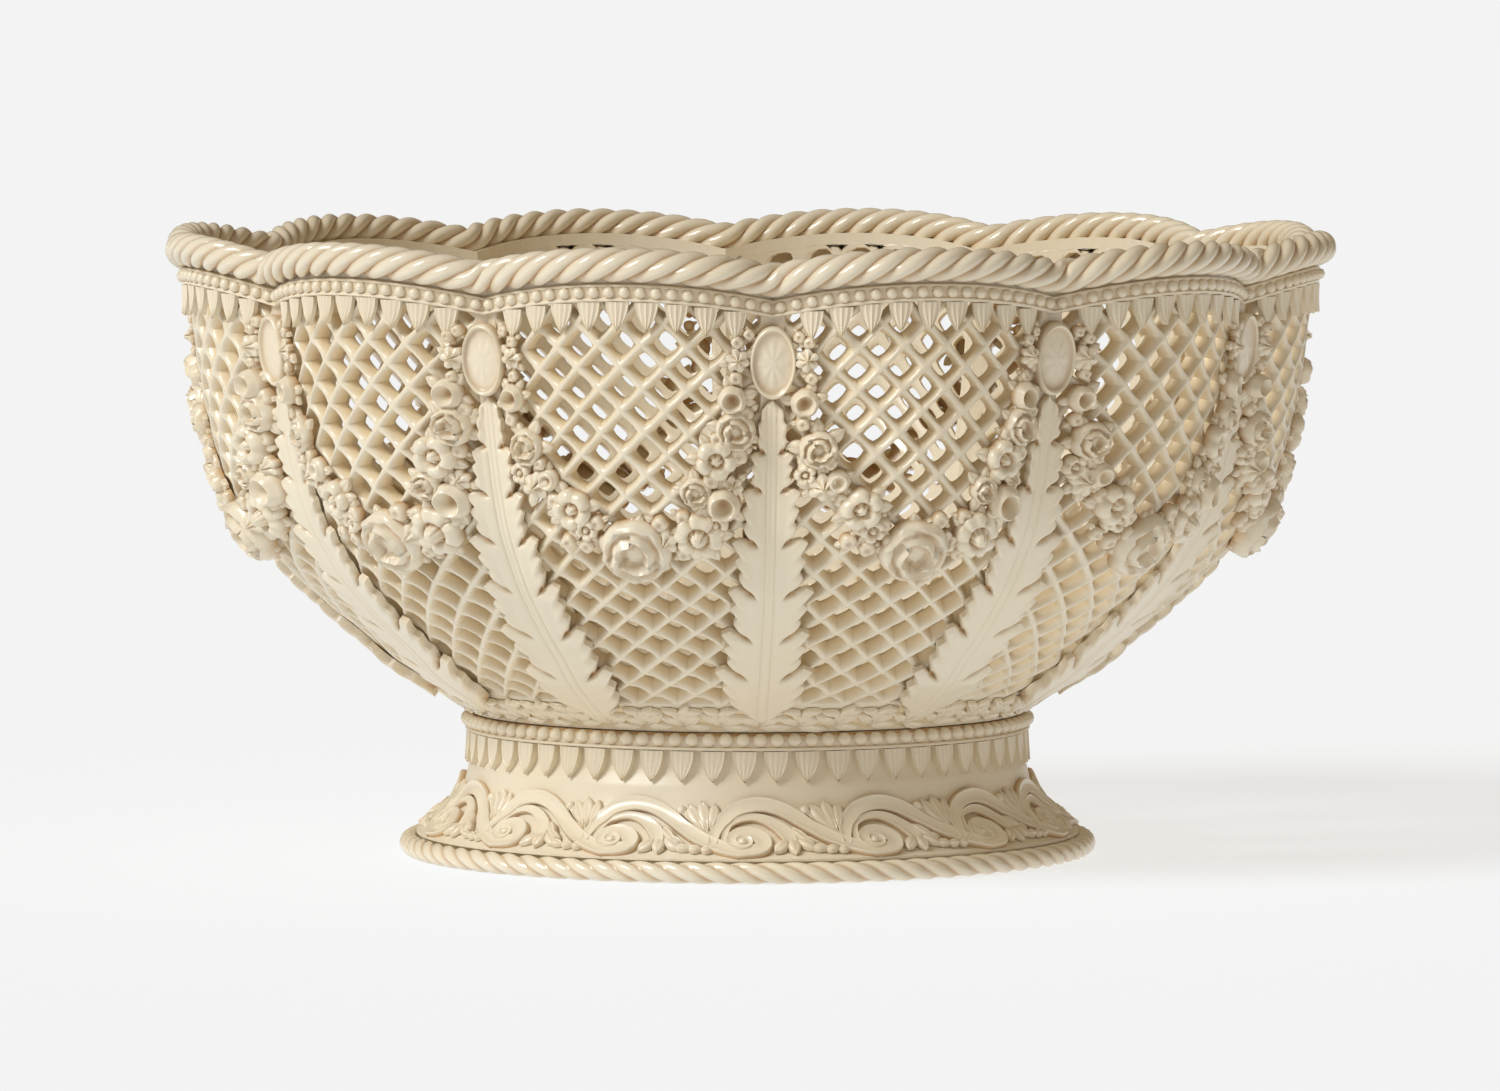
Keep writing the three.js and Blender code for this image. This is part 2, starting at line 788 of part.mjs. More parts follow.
addRound("wall_panel", panelGeometry(), 0xe9e0c8, 0.28);
addRound("medallion", medallionGeometry(), 0xf0e9d4, 0.22);
addRound("acanthus_leaf", acanthusLeafGeometry(), 0xebe2ca, 0.26);
addRound("flower_garland", garlandGeometry(), 0xede5ce, 0.26);
add("rim_rope", rimRopeGeometry(), 0xf1ead6, 0.22);
add("rim_bead_band", rimBeadBandGeometry(), 0xece3cb, 0.24);
add("rim_tongue_band", rimTongueGeometry(), 0xe9dfc5, 0.26);
add("base_dish", baseDishGeometry(), 0xeae1c9, 0.24);
add("foot", footGeometry(), 0xeee6d0, 0.22);
add("foot_bead_ring", footBeadRingGeometry(), 0xece3cb, 0.24);
add("foot_tongue_ring", footTongueGeometry(), 0xe9dfc5, 0.26);
add("foot_scroll_frieze", scrollFriezeGeometry(), 0xece4cd, 0.24);
add("foot_rope", footRopeGeometry(), 0xf1ead6, 0.22);

export default group;
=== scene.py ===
import math

import bpy
import numpy as np
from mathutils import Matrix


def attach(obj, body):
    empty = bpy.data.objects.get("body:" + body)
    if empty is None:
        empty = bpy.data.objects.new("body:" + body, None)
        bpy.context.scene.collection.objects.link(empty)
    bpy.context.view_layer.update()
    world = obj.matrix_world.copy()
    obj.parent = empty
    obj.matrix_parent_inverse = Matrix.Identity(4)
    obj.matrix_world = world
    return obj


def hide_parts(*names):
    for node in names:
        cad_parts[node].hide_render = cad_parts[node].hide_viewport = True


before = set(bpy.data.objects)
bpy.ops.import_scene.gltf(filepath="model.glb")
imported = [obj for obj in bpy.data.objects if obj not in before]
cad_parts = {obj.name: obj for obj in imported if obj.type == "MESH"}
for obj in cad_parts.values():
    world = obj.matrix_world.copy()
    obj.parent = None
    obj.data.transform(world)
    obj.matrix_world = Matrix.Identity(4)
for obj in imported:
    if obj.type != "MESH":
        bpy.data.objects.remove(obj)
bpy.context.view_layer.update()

# Lengths are in millimetres here and become metres when a mesh is made. An angle is measured round the
# axis from the front (-Y) towards +X, and a valley between two lobes lies at angle zero.
MM = 0.001
TURN = 2 * math.pi

# Overall form, as in the part
RIM_DIAMETER = 305.6
BOWL_HEIGHT = 161.8
LOBES = 12
LOBE = TURN / LOBES
HALF_LOBE = LOBE / 2
LOBE_DEPTH = 7.4
RIM_WAVE = 4.2
SEAT_GAP = 0.3
WALL_THICKNESS = 4.5
WALL_FOOT_RADIUS = 71.5
PANEL_START = 9.0
LOBE_MEAN_SHARE = 2 / 3
LOBE_FULL_SHARE = 0.75
ROPE_RADIUS = 4.3
ROPE_SET_OUT = 1.8
FOOT_HEIGHT = 36.6
DISH_EDGE = 1.1
ROPE_VALLEY_RADIUS = RIM_DIAMETER / 2 - ROPE_RADIUS - LOBE_DEPTH
ROPE_VALLEY_HEIGHT = BOWL_HEIGHT - ROPE_RADIUS - RIM_WAVE
WALL_TOP_RADIUS = ROPE_VALLEY_RADIUS - ROPE_SET_OUT
WALL_TOP_HEIGHT = ROPE_VALLEY_HEIGHT - ROPE_RADIUS - SEAT_GAP
WALL_FOOT_HEIGHT = FOOT_HEIGHT + SEAT_GAP + DISH_EDGE
WALL_SHARES = [
    (0, 0), (0.125, 0.054), (0.295, 0.122), (0.398, 0.181), (0.516, 0.244), (0.619, 0.307), (0.693, 0.357),
    (0.76, 0.416), (0.83, 0.488), (0.892, 0.596), (0.944, 0.732), (0.978, 0.858), (1, 1),
]


class Outline:
    """A turned outline by its arc length. A smooth curve passes through the given radii and heights: a
    point between two of them is a cubic whose slope at each is half the step between its neighbours. The
    outline runs on straight past both ends."""

    def __init__(self, knots, fineness=4000):
        knots = np.asarray(knots, float)
        last = len(knots) - 1
        place = np.linspace(0, last, fineness)
        i = np.minimum(place.astype(int), last - 1)
        w = (place - i)[:, None]
        p0, p1, p2, p3 = (knots[np.clip(i + k, 0, last)] for k in (-1, 0, 1, 2))
        v0, v1 = (p2 - p0) / 2, (p3 - p1) / 2
        spots = ((2 * p1 - 2 * p2 + v0 + v1) * w + (3 * p2 - 3 * p1 - 2 * v0 - v1)) * w * w + v0 * w + p1
        self.spots = spots
        self.lengths = np.concatenate([[0], np.cumsum(np.hypot(*np.diff(spots, axis=0).T))])
        self.whole = self.lengths[-1]
        way = np.gradient(spots, self.lengths, axis=0)
        self.way = way / np.linalg.norm(way, axis=1)[:, None]

    def at(self, length):
        """Radius, height and outward normal at a length along the outline."""
        inside = np.clip(length, 0, self.whole)
        r, z, along_r, along_z = (
            np.interp(inside, self.lengths, column) for column in (*self.spots.T, *self.way.T)
        )
        past = length - inside
        return r + along_r * past, z + along_z * past, along_z, -along_r

    def length_at_height(self, height):
        """The length along the outline where it reaches a height."""
        return np.interp(height, self.spots[:, 1], self.lengths)


wall_outline = Outline([
    (WALL_FOOT_RADIUS + (WALL_TOP_RADIUS - WALL_FOOT_RADIUS) * out,
     WALL_FOOT_HEIGHT + (WALL_TOP_HEIGHT - WALL_FOOT_HEIGHT) * up)
    for out, up in WALL_SHARES
])
WALL_LENGTH = wall_outline.whole


def round_point(angle, radius, height):
    """Points at an angle round the axis, a radius and a height."""
    angle, radius, height = np.broadcast_arrays(angle, radius, height)
    return np.stack([radius * np.sin(angle), -radius * np.cos(angle), height], axis=-1)


def lobe_share(angle):
    """How far out the lobe stands: a parabola from nothing in a valley to one in mid lobe."""
    place = np.asarray(angle) / LOBE
    across = 2 * (place - np.floor(place)) - 1
    return 1 - across**2


def lobe_depth(length):
    """The lobe's depth grows from nothing at the foot of the wall by a smooth step."""
    share = np.clip(length / (WALL_LENGTH * LOBE_FULL_SHARE), 0, 1)
    return LOBE_DEPTH * share * share * (3 - 2 * share)


def wall_point(angle, length, lift):
    """Points on the wall's outer face, lifted off it along the outline's normal."""
    r, z, nr, nz = wall_outline.at(length)
    return round_point(angle, r + lobe_depth(length) * lobe_share(angle) + lift * nr, z + lift * nz)


def mean_radius(length):
    """Radius at a length along the wall, averaged over a lobe."""
    return wall_outline.at(length)[0] + LOBE_MEAN_SHARE * lobe_depth(length)


def half_width(length):
    """Half the width of one lobe's panel, measured along the wall."""
    return mean_radius(length) * HALF_LOBE - SEAT_GAP / 2


def top_length(angle):
    """Where the wall ends at an angle, because the rim rises in mid lobe."""
    return WALL_LENGTH + RIM_WAVE * lobe_share(angle)


def lobe_place(turned):
    """Places on one lobe: across from its middle, up along the wall, and lift."""
    return lambda u, v, lift: wall_point(turned + HALF_LOBE + u / mean_radius(v), v, lift)


def valley_place(turned):
    """Places beside one valley: across from it, up along the wall, and lift."""
    return lambda u, v, lift: wall_point(turned + u / wall_outline.at(v)[0], v, lift)


def flat_place(turned):
    """Places on a flat shield over one valley: across from it, up along the wall, and lift."""

    def place(u, v, lift):
        r, z, nr, nz = wall_outline.at(v)
        sideways = u[..., None] * round_point(turned + TURN / 4, 1, 0)
        return round_point(turned, r + lift * nr, z + lift * nz) + sideways

    return place


def bump(x, middle, width):
    """One in the middle, falling off on both sides: exp(-((x - middle) / width)^2)."""
    return np.exp(-(((x - middle) / width) ** 2))


# Gathering a mesh. Points that round to the same multiple of WELD are one point.
WELD = 0.002


class Clay:
    """Points, faces and a value a point for pooled glaze and painted shade, gathered as whole arrays. The
    value says how deep a point lies in a recess or under relief, where the glaze gathers and where shade
    falls; both are painted in as brown: nothing on a crest, one in the depth."""

    def __init__(self):
        self.points, self.quads, self.triangles, self.pools_and_shade = [], [], [], []
        self.count = 0

    def add(self, points, quads=(), triangles=(), pool=0.0):
        """Adds copies of one shape: points by copy and place, with faces that index into a copy."""
        points = np.asarray(points, float)
        size = points.shape[-2]
        copies = points.reshape(-1, size, 3)
        pool = np.broadcast_to(pool, points.shape[:-1]).reshape(-1)
        starts = self.count + size * np.arange(len(copies))[:, None, None]
        if len(quads):
            self.quads.append((np.asarray(quads) + starts).reshape(-1, 4))
        if len(triangles):
            self.triangles.append((np.asarray(triangles) + starts).reshape(-1, 3))
        self.points.append(copies.reshape(-1, 3))
        self.pools_and_shade.append(pool)
        self.count += size * len(copies)

    def piece(self, name, slot, nodes, sharp=50.0):
        """Makes the object, in metres, merges what touches, and names what it stands for."""
        points, pools_and_shade = np.concatenate(self.points), np.concatenate(self.pools_and_shade)
        quads = np.concatenate([np.zeros((0, 4), int), *self.quads])
        triangles = np.concatenate([np.zeros((0, 3), int), *self.triangles])
        _, first, same = np.unique(
            np.round(points / WELD).astype(np.int64), axis=0, return_index=True, return_inverse=True
        )
        same = same.reshape(-1)
        quads, triangles = same[quads], same[triangles]
        # A four-sided face with two corners in one place is a triangle.
        for k in range(4):
            twin = quads[:, k] == quads[:, (k + 1) % 4]
            triangles = np.concatenate([triangles, quads[twin][:, (np.arange(1, 4) + k) % 4]])
            quads = quads[~twin]
        triangles = triangles[(triangles != np.roll(triangles, 1, axis=1)).all(axis=1)]
        mesh = bpy.data.meshes.new(name)
        mesh.vertices.add(len(first))
        mesh.vertices.foreach_set("co", (points[first] * MM).ravel())
        mesh.loops.add(quads.size + triangles.size)
        mesh.loops.foreach_set("vertex_index", np.concatenate([quads.ravel(), triangles.ravel()]))
        starts = np.concatenate([4 * np.arange(len(quads)), quads.size + 3 * np.arange(len(triangles))])
        mesh.polygons.add(len(starts))
        mesh.polygons.foreach_set("loop_start", starts)
        mesh.polygons.foreach_set("use_smooth", np.ones(len(starts), bool))
        mesh.update(calc_edges=True)
        mesh.attributes.new("pool", "FLOAT", "POINT").data.foreach_set("value", pools_and_shade[first])
        mesh.validate()
        mesh.set_sharp_from_angle(angle=math.radians(sharp))
        mesh.materials.append(GLAZES[slot])
        obj = bpy.data.objects.new(name, mesh)
        bpy.context.scene.collection.objects.link(obj)
        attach(obj, "root")
        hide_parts(*nodes)


def grid_faces(rows, columns, wrap_rows=False, wrap_columns=False):
    """Four-sided faces of a grid of points, whose normals point along row cross column."""
    r = np.arange(rows if wrap_rows else rows - 1)[:, None]
    c = np.arange(columns if wrap_columns else columns - 1)[None]
    r2, c2 = (r + 1) % rows, (c + 1) % columns
    corners = (r * columns + c, r2 * columns + c, r2 * columns + c2, r * columns + c2)
    return np.stack(np.broadcast_arrays(*corners), -1).reshape(-1, 4)


def slab_faces(rows, columns):
    """Faces of a closed slab: an upper grid, a lower grid and the walls between their borders. The upper
    grid's rows run to the right and its columns up, as seen from outside."""
    size = rows * columns
    top = grid_faces(rows, columns)
    r, c = np.arange(rows), np.arange(columns)
    border = np.concatenate([
        r * columns, (rows - 1) * columns + c[1:], r[:-1][::-1] * columns + columns - 1, c[1:-1][::-1],
    ])
    following = np.roll(border, -1)
    walls = np.stack([following, border, border + size, following + size], -1)
    return np.concatenate([top, top[:, ::-1] + size, walls])


def add_slab(clay, place, u, v, high, low, pool=0.0):
    """A closed slab over grids of u (growing by row) and v (growing by column)."""
    u, v, high, low, pool = np.broadcast_arrays(u, v, high, low, pool)
    shape = u.shape
    lead = shape[:-2]
    upper, lower = place(u, v, high), place(u, v, low)
    points = np.concatenate([upper.reshape(*lead, -1, 3), lower.reshape(*lead, -1, 3)], axis=-2)
    pools_and_shade = np.concatenate([pool.reshape(*lead, -1), pool.reshape(*lead, -1)], axis=-1)
    clay.add(points, quads=slab_faces(*shape[-2:]), pool=pools_and_shade)


def dome_faces(rings, sides):
    """Faces of a closed dome: rings from the rim inwards, then a point on top and one underneath."""
    quads = grid_faces(rings, sides, wrap_columns=True)[:, ::-1]
    k = np.arange(sides)
    inner = (rings - 1) * sides
    top, under = rings * sides, rings * sides + 1
    fans = np.concatenate([
        np.stack([inner + k, inner + (k + 1) % sides, np.full(sides, top)], -1),
        np.stack([(k + 1) % sides, k, np.full(sides, under)], -1),
    ])
    return quads, fans


def add_dome(clay, place, u, v, lift, top_lift, pool, top_pool_and_shade=0.0):
    """A closed dome: arrays of u, v and lift by ring and side, rim first, with the middle's lift."""
    rings, sides = u.shape
    middle = np.array([u.mean()]), np.array([v.mean()])
    ends = [place(*middle, np.array([height])) for height in (top_lift, 0.0)]
    points = np.concatenate([place(u, v, lift).reshape(-1, 3), *ends])
    quads, fans = dome_faces(rings, sides)
    clay.add(points, quads, fans, np.append(np.broadcast_to(pool, u.shape), [top_pool_and_shade, 0]))


def add_balls(clay, centres, radius, stretch=(1, 1, 1), sides=8, rings=3):
    """Small round beads at given centres, with rings from below upwards, browner underneath: pooled glaze and
    painted shade.
    """
    tilt = math.pi * (np.arange(rings)[:, None] + 1) / (rings + 1)
    around = TURN * np.arange(sides) / sides
    ring = np.stack(np.broadcast_arrays(
        np.sin(tilt) * np.cos(around), np.sin(tilt) * np.sin(around), -np.cos(tilt),
    ), -1).reshape(-1, 3)
    shape = np.concatenate([ring, [[0, 0, 1], [0, 0, -1]]])
    points = centres[..., None, :] + radius * shape * np.asarray(stretch)
    clay.add(points, *dome_faces(rings, sides), np.clip(-shape[:, 2], 0, 1) * 0.5)


def add_ring(clay, points, pool):
    """A closed band: points by step round the axis and by place round the section, which runs out along
    the bottom, up the face and back along the top."""
    steps, sides = points.shape[:2]
    faces = grid_faces(steps, sides, wrap_rows=True, wrap_columns=True)
    clay.add(points.reshape(-1, 3), quads=faces, pool=np.broadcast_to(pool, (steps, sides)).ravel())


# Glazes. A noise is so many features to a metre.
CLOUDS = 24.0
MOTTLES = 170.0
SWELLS = 330.0
GRAINS = 1500.0
BUMP_STRENGTH = 0.22
BUMP_DISTANCE = 0.0006
COAT_WEIGHT = 0.25
GLASS_INDEX = 1.5


class Socket:
    """One output in a material, on which sums and products add Math nodes."""

    def __init__(self, tree, output):
        self.tree, self.output = tree, output

    def math(self, operation, other):
        return self.tree.node("ShaderNodeMath", {"operation": operation}, {0: self, 1: other})

    def __add__(self, other):
        return self.math("ADD", other)

    def __sub__(self, other):
        return self.math("SUBTRACT", other)

    def __mul__(self, other):
        return self.math("MULTIPLY", other)

    def __pow__(self, other):
        return self.math("POWER", other)

    def clamped(self):
        return self.tree.node("ShaderNodeClamp", {}, {0: self})


class Glaze:
    """A material whose nodes are made by one method."""

    def __init__(self, name):
        self.material = bpy.data.materials.new(name)
        self.material.use_nodes = True
        self.nodes = self.material.node_tree.nodes
        self.links = self.material.node_tree.links
        self.nodes.clear()

    def node(self, kind, settings=None, inputs=None, output=0):
        """Adds a node: its settings first, then the values or links of its inputs."""
        node = self.nodes.new(kind)
        for name, value in (settings or {}).items():
            setattr(node, name, value)
        for name, value in (inputs or {}).items():
            if isinstance(value, Socket):
                self.links.new(value.output, node.inputs[name])
            else:
                node.inputs[name].default_value = value
        return Socket(self, node.outputs[output]) if len(node.outputs) else None

    def noise(self, place, scale, detail=2.0, rough=0.5):
        """Soft noise from nothing to one."""
        inputs = {"Vector": place, "Scale": scale, "Detail": detail, "Roughness": rough}
        return self.node("ShaderNodeTexNoise", {}, inputs, "Fac")

    def mix(self, share, first, second):
        """Two colours mixed by a share. Input 6 and 7 are the node's colours, output 2 their mix."""
        return self.node("ShaderNodeMix", {"data_type": "RGBA"}, {0: share, 6: first, 7: second}, 2)


def linear(red, green, blue):
    """A display colour as linear light: the usual display curve turned round."""
    values = [c / 12.92 if c <= 0.04045 else ((c + 0.055) / 1.055) ** 2.4 for c in (red, green, blue)]
    return (*values, 1.0)


IVORY = linear(0.925, 0.885, 0.8)
WARM_IVORY = linear(0.915, 0.86, 0.75)
# Browns for pooled glaze and for painted shade in recesses, holes and under relief.
HONEY_SHADE = linear(0.74, 0.58, 0.37)
PALE_HONEY_SHADE = linear(0.925, 0.84, 0.68)


def make_glaze(name, pool_and_shade_colour, roughness, coat_roughness):
    """Cream lead glaze: an even body colour, slightly warmer in soft clouds, that turns brown where it pools
    and where shade falls in recesses and under relief, the shade painted into the colour. Its surface has a
    slow unevenness of the brushed glaze and fine pitting."""
    glaze = Glaze(name)
    place = glaze.node("ShaderNodeTexCoord", output="Object")
    pool = glaze.node("ShaderNodeAttribute", {"attribute_name": "pool"}, output="Fac")
    clouds = glaze.noise(place, CLOUDS, 3.0)
    mottle = glaze.noise(place, MOTTLES, 3.0, 0.6)
    grain = glaze.noise(place, GRAINS)
    # How brown a point is: pooled glaze and painted shade, with a mottle.
    pool_and_shade_share = ((pool - 0.12) * 1.1 + (mottle - 0.5) * 0.3).clamped() ** 1.25
    body = glaze.mix((clouds * 1.7 - 0.35).clamped(), IVORY, WARM_IVORY)
    uneven = glaze.noise(place, SWELLS, 1.0) * 0.8 + grain * 0.12
    normal = glaze.node(
        "ShaderNodeBump", {}, {"Strength": BUMP_STRENGTH, "Distance": BUMP_DISTANCE, "Height": uneven}
    )
    shader = glaze.node("ShaderNodeBsdfPrincipled", {}, {
        "Base Color": glaze.mix(pool_and_shade_share, body, pool_and_shade_colour),
        "Roughness": mottle * 0.12 + pool_and_shade_share * 0.1 + roughness,
        "IOR": GLASS_INDEX,
        "Normal": normal,
        "Coat Weight": COAT_WEIGHT,
        "Coat Roughness": coat_roughness,
    })
    glaze.node("ShaderNodeOutputMaterial", {}, {"Surface": shader})
    return glaze.material


# The glaze of each material slot: its brown for pooled glaze and painted shade, its roughness and its coat's
# roughness.
GLAZES = {
    "glazed_wall": make_glaze("cream_wall_glaze", PALE_HONEY_SHADE, 0.22, 0.12),
    "glazed_relief": make_glaze("cream_relief_glaze", HONEY_SHADE, 0.26, 0.16),
    "glazed_ropes": make_glaze("cream_rope_glaze", HONEY_SHADE, 0.16, 0.1),
    "glazed_foot": make_glaze("cream_foot_glaze", HONEY_SHADE, 0.34, 0.3),
}

# Camera at the photograph's place and angle
CAMERA_TURN = math.radians(2.55)
CAMERA_TILT = 0.0654
CAMERA_DISTANCE = 2702
CAMERA_HEIGHT = 256.3
CAMERA_SIDE = 0.64
CAMERA_LENS = 251.6
lens = bpy.data.cameras.new("camera")
lens.sensor_width = 36
lens.lens = CAMERA_LENS
camera = bpy.data.objects.new("camera", lens)
camera.location = [
    MM * (-CAMERA_DISTANCE * math.sin(CAMERA_TURN) + CAMERA_SIDE * math.cos(CAMERA_TURN)),
    MM * (-CAMERA_DISTANCE * math.cos(CAMERA_TURN) - CAMERA_SIDE * math.sin(CAMERA_TURN)),
    MM * CAMERA_HEIGHT,
]
camera.rotation_euler = (TURN / 4 - CAMERA_TILT, 0, -CAMERA_TURN)
bpy.context.scene.collection.objects.link(camera)
bpy.context.scene.camera = camera

# Floor and light. Most of the floor's brightness is its own, as on a lit table, so that shadows stay faint.
FLOOR_REACH = 100.0
FLOOR_GLOW = 0.725
FLOOR_GLOW_COLOUR = (1.0, 0.985, 0.96, 1.0)
FLOOR_COLOUR = (0.25, 0.285, 0.335, 1.0)
SKY_LIGHT = 0.24
SKY_COLOUR = (1.0, 0.78, 0.52, 1.0)
KEY_LIGHT = 2.35
KEY_COLOUR = (0.95, 0.98, 1.0)
KEY_PLACE = (-0.8, -0.53, 0.76)
KEY_SOFTNESS = math.radians(25)
ground = bpy.data.meshes.new("floor")
corners = [(x * FLOOR_REACH, y * FLOOR_REACH, 0) for x, y in ((-1, -1), (1, -1), (1, 1), (-1, 1))]
ground.from_pydata(corners, [], [(0, 1, 2, 3)])
floor = bpy.data.objects.new("floor", ground)
bpy.context.scene.collection.objects.link(floor)
paper = Glaze("pale_floor")
paper_shader = paper.node("ShaderNodeBsdfPrincipled", {}, {
    "Base Color": FLOOR_COLOUR,
    "Roughness": 1.0,
    "Specular IOR Level": 0.0,
    "Emission Color": FLOOR_GLOW_COLOUR,
    "Emission Strength": FLOOR_GLOW,
})
paper.node("ShaderNodeOutputMaterial", {}, {"Surface": paper_shader})
ground.materials.append(paper.material)

world = bpy.data.worlds.new("studio")
world.use_nodes = True
sky = world.node_tree.nodes["Background"].inputs
sky["Color"].default_value = SKY_COLOUR
sky["Strength"].default_value = SKY_LIGHT
bpy.context.scene.world = world
bpy.context.scene.view_settings.view_transform = "Standard"

key = bpy.data.lights.new("key_light", "SUN")
key.energy = KEY_LIGHT
key.color = KEY_COLOUR
key.angle = KEY_SOFTNESS
lamp = bpy.data.objects.new("key_light", key)
side, front, up = KEY_PLACE
lamp.rotation_euler = (0, math.atan2(math.hypot(side, front), up), math.atan2(front, side))
bpy.context.scene.collection.objects.link(lamp)


# Openwork wall. The lattice's rows are counted up to LATTICE_END and run on to LATTICE_TOP.
LATTICE_HALF_PITCH = 5.4
LATTICE_START = PANEL_START + 1.4
LATTICE_END = WALL_LENGTH - 4.2
LATTICE_TOP = WALL_LENGTH - 1.0
WALL_IN_ROPE = 2.0
SIDE_STRIP = 2.4
STRIP_OVERLAP = 0.3
STRIP_DROP = 0.06
# A mesh of the lattice has this many spots round it, and this many to a side.
CELL_SPOTS = 12
SIDE_SPOTS = 3
HOLE_INSET = 1.3
HOLE_SHARES = (0.56, 0.655, 0.655)
HOLE_SPREAD = 0.04
HOLE_SHIFT = 0.16
STRAND_DIP = 0.7
BLIND_AREA = 3.5
BLIND_DEPTH = 0.9
# Half a strand, from its crest to the hole and back on the inner face: place as a share of the way to the
# hole's edge, depth below the crest, and how brown it is there, browner down the hole's walls: pooled glaze
# and painted shade.
STRAND_SECTION = (
    (0, 0, 0), (0.25, 0.12, 0.05), (0.5, 0.6, 0.25), (0.75, 1.75, 0.65), (1, 3.4, 0.9), (1, 4.2, 0.8),
    (0.85, WALL_THICKNESS, 0.25), (0, WALL_THICKNESS, 0.1),
)


def hold_inside(spots, inset=0.0):
    """Spots (u, v) of a panel moved in to where its frame ends."""
    u, v = spots[..., 0], spots[..., 1]
    across = np.clip(u / half_width(v), -1, 1)
    top = LATTICE_TOP + RIM_WAVE * (1 - across**2)
    v = np.clip(v, LATTICE_START + inset, top - inset)
    reach = half_width(v) - SIDE_STRIP - inset
    return np.stack([np.clip(u, -reach, reach), v], -1)


def polygon_area(spots):
    """Signed areas of polygons: half the sum of the cross products of neighbouring spots."""
    x, y = spots[..., 0], spots[..., 1]
    return (x * np.roll(y, -1, -1) - y * np.roll(x, -1, -1)).sum(-1) / 2


def lattice_cells():
    """The meshes of the openwork: for each, its spots anticlockwise along its four strands, and the
    strands' dips there. Strands cross at i half pitches across and j rows up, where i + j is even, and the
    rows rise in mid lobe as the rim does."""
    rows = round((LATTICE_END - LATTICE_START) / LATTICE_HALF_PITCH)
    row_step = (LATTICE_END - LATTICE_START) / rows
    columns = math.ceil(half_width(LATTICE_END) / LATTICE_HALF_PITCH)
    i, j = (n.ravel() for n in np.meshgrid(np.arange(-columns, columns + 1), np.arange(-1, rows + 2)))
    is_mesh = (i + j) % 2 == 1
    right = i[is_mesh][:, None] + np.array([1, 0, -1, 0])
    up = j[is_mesh][:, None] + np.array([0, 1, 0, -1])
    u = right * LATTICE_HALF_PITCH
    level = LATTICE_START + up * row_step
    across = np.clip(u / half_width(level), -1, 1)
    corners = np.stack([u, level + RIM_WAVE * (1 - across**2) * up / rows], -1)
    sides = np.roll(corners, -1, axis=1) - corners
    shares = np.arange(SIDE_SPOTS)[:, None] / SIDE_SPOTS
    spots = (corners[:, :, None] + sides[:, :, None] * shares).reshape(-1, CELL_SPOTS, 2)
    # Strands that rise to the left dip under the others between two crossings.
    dips = np.broadcast_to(np.tile([0, STRAND_DIP, STRAND_DIP, 0, 0, 0], 2), spots.shape[:2])
    return spots, dips


def add_lattice(clay, place, rng):
    """The crossing strands of one panel and the funnel-shaped holes between them."""
    spots, dips = lattice_cells()
    border = hold_inside(spots)
    dips = np.where(np.abs(border - spots).max(-1) > STRIP_DROP, 0, dips)
    kept = polygon_area(border) > STRIP_OVERLAP
    spots, border, dips = spots[kept], border[kept], dips[kept]
    count = len(spots)
    middle = spots.mean(1, keepdims=True)
    size = np.tile(HOLE_SHARES, 4) * (1 + HOLE_SPREAD * rng.standard_normal((count, 1)))
    shift = HOLE_SHIFT * rng.standard_normal((count, 1, 2))
    hole = hold_inside(middle + shift + (spots - middle) * size[..., None], HOLE_INSET)
    is_open = polygon_area(hole) > BLIND_AREA

    shares, depths, pools_and_shade = (np.array(column)[:, None] for column in zip(*STRAND_SECTION))
    edge, dip = border[is_open][:, None], dips[is_open][:, None] * (1 - shares)
    rings = edge * (1 - shares[..., None]) + hole[is_open][:, None] * shares[..., None]
    points = place(rings[..., 0], rings[..., 1], -depths - dip * (depths < WALL_THICKNESS))
    # Where a strand dips under another it is browner: painted shade.
    pool = np.broadcast_to(pools_and_shade, rings.shape[:-1]) + dip * 0.15
    faces = grid_faces(len(STRAND_SECTION), CELL_SPOTS, wrap_columns=True)[:, ::-1]
    clay.add(points.reshape(len(points), -1, 3), quads=faces, pool=pool.reshape(len(points), -1))

    # A mesh that is too small for a hole is a shallow dimple, browner in its depth as pooled glaze and
    # painted shade.
    blind = border[~is_open]
    spot = np.arange(CELL_SPOTS)
    fans = np.stack([spot, np.roll(spot, -1), np.full_like(spot, CELL_SPOTS)], -1)
    u, v = np.moveaxis(np.concatenate([blind, blind.mean(1, keepdims=True)], 1), -1, 0)
    sink = np.append(np.zeros(CELL_SPOTS), BLIND_DEPTH)
    lift = -np.concatenate([dips[~is_open], np.full((len(blind), 1), BLIND_DEPTH)], 1)
    clay.add(place(u, v, lift), triangles=fans, pool=sink * 0.6)
    clay.add(place(u, v, np.full_like(u, -WALL_THICKNESS)), triangles=fans[:, ::-1], pool=0.1)

    # Where a strand has no mesh on its other side, the lattice ends in a wall. A strand's key is made of
    # its two ends, so its two sides have the same ends in turned order.
    start, end = border.reshape(-1, 2), np.roll(border, -1, axis=1).reshape(-1, 2)
    dip, end_dip = dips.ravel(), np.roll(dips, -1, axis=1).ravel()
    here, there = (np.round(ends / WELD).astype(np.int64) @ np.array([1 << 24, 1]) for ends in (start, end))
    lone = ~np.isin(here * (1 << 8) + there, there * (1 << 8) + here) & (here != there)
    a, b = start[lone], end[lone]
    inner = np.full(len(a), -WALL_THICKNESS)
    rim = ((b, -end_dip[lone]), (a, -dip[lone]), (a, inner), (b, inner))
    clay.add(np.stack([place(at[:, 0], at[:, 1], lift) for at, lift in rim], 1), quads=[[0, 1, 2, 3]])


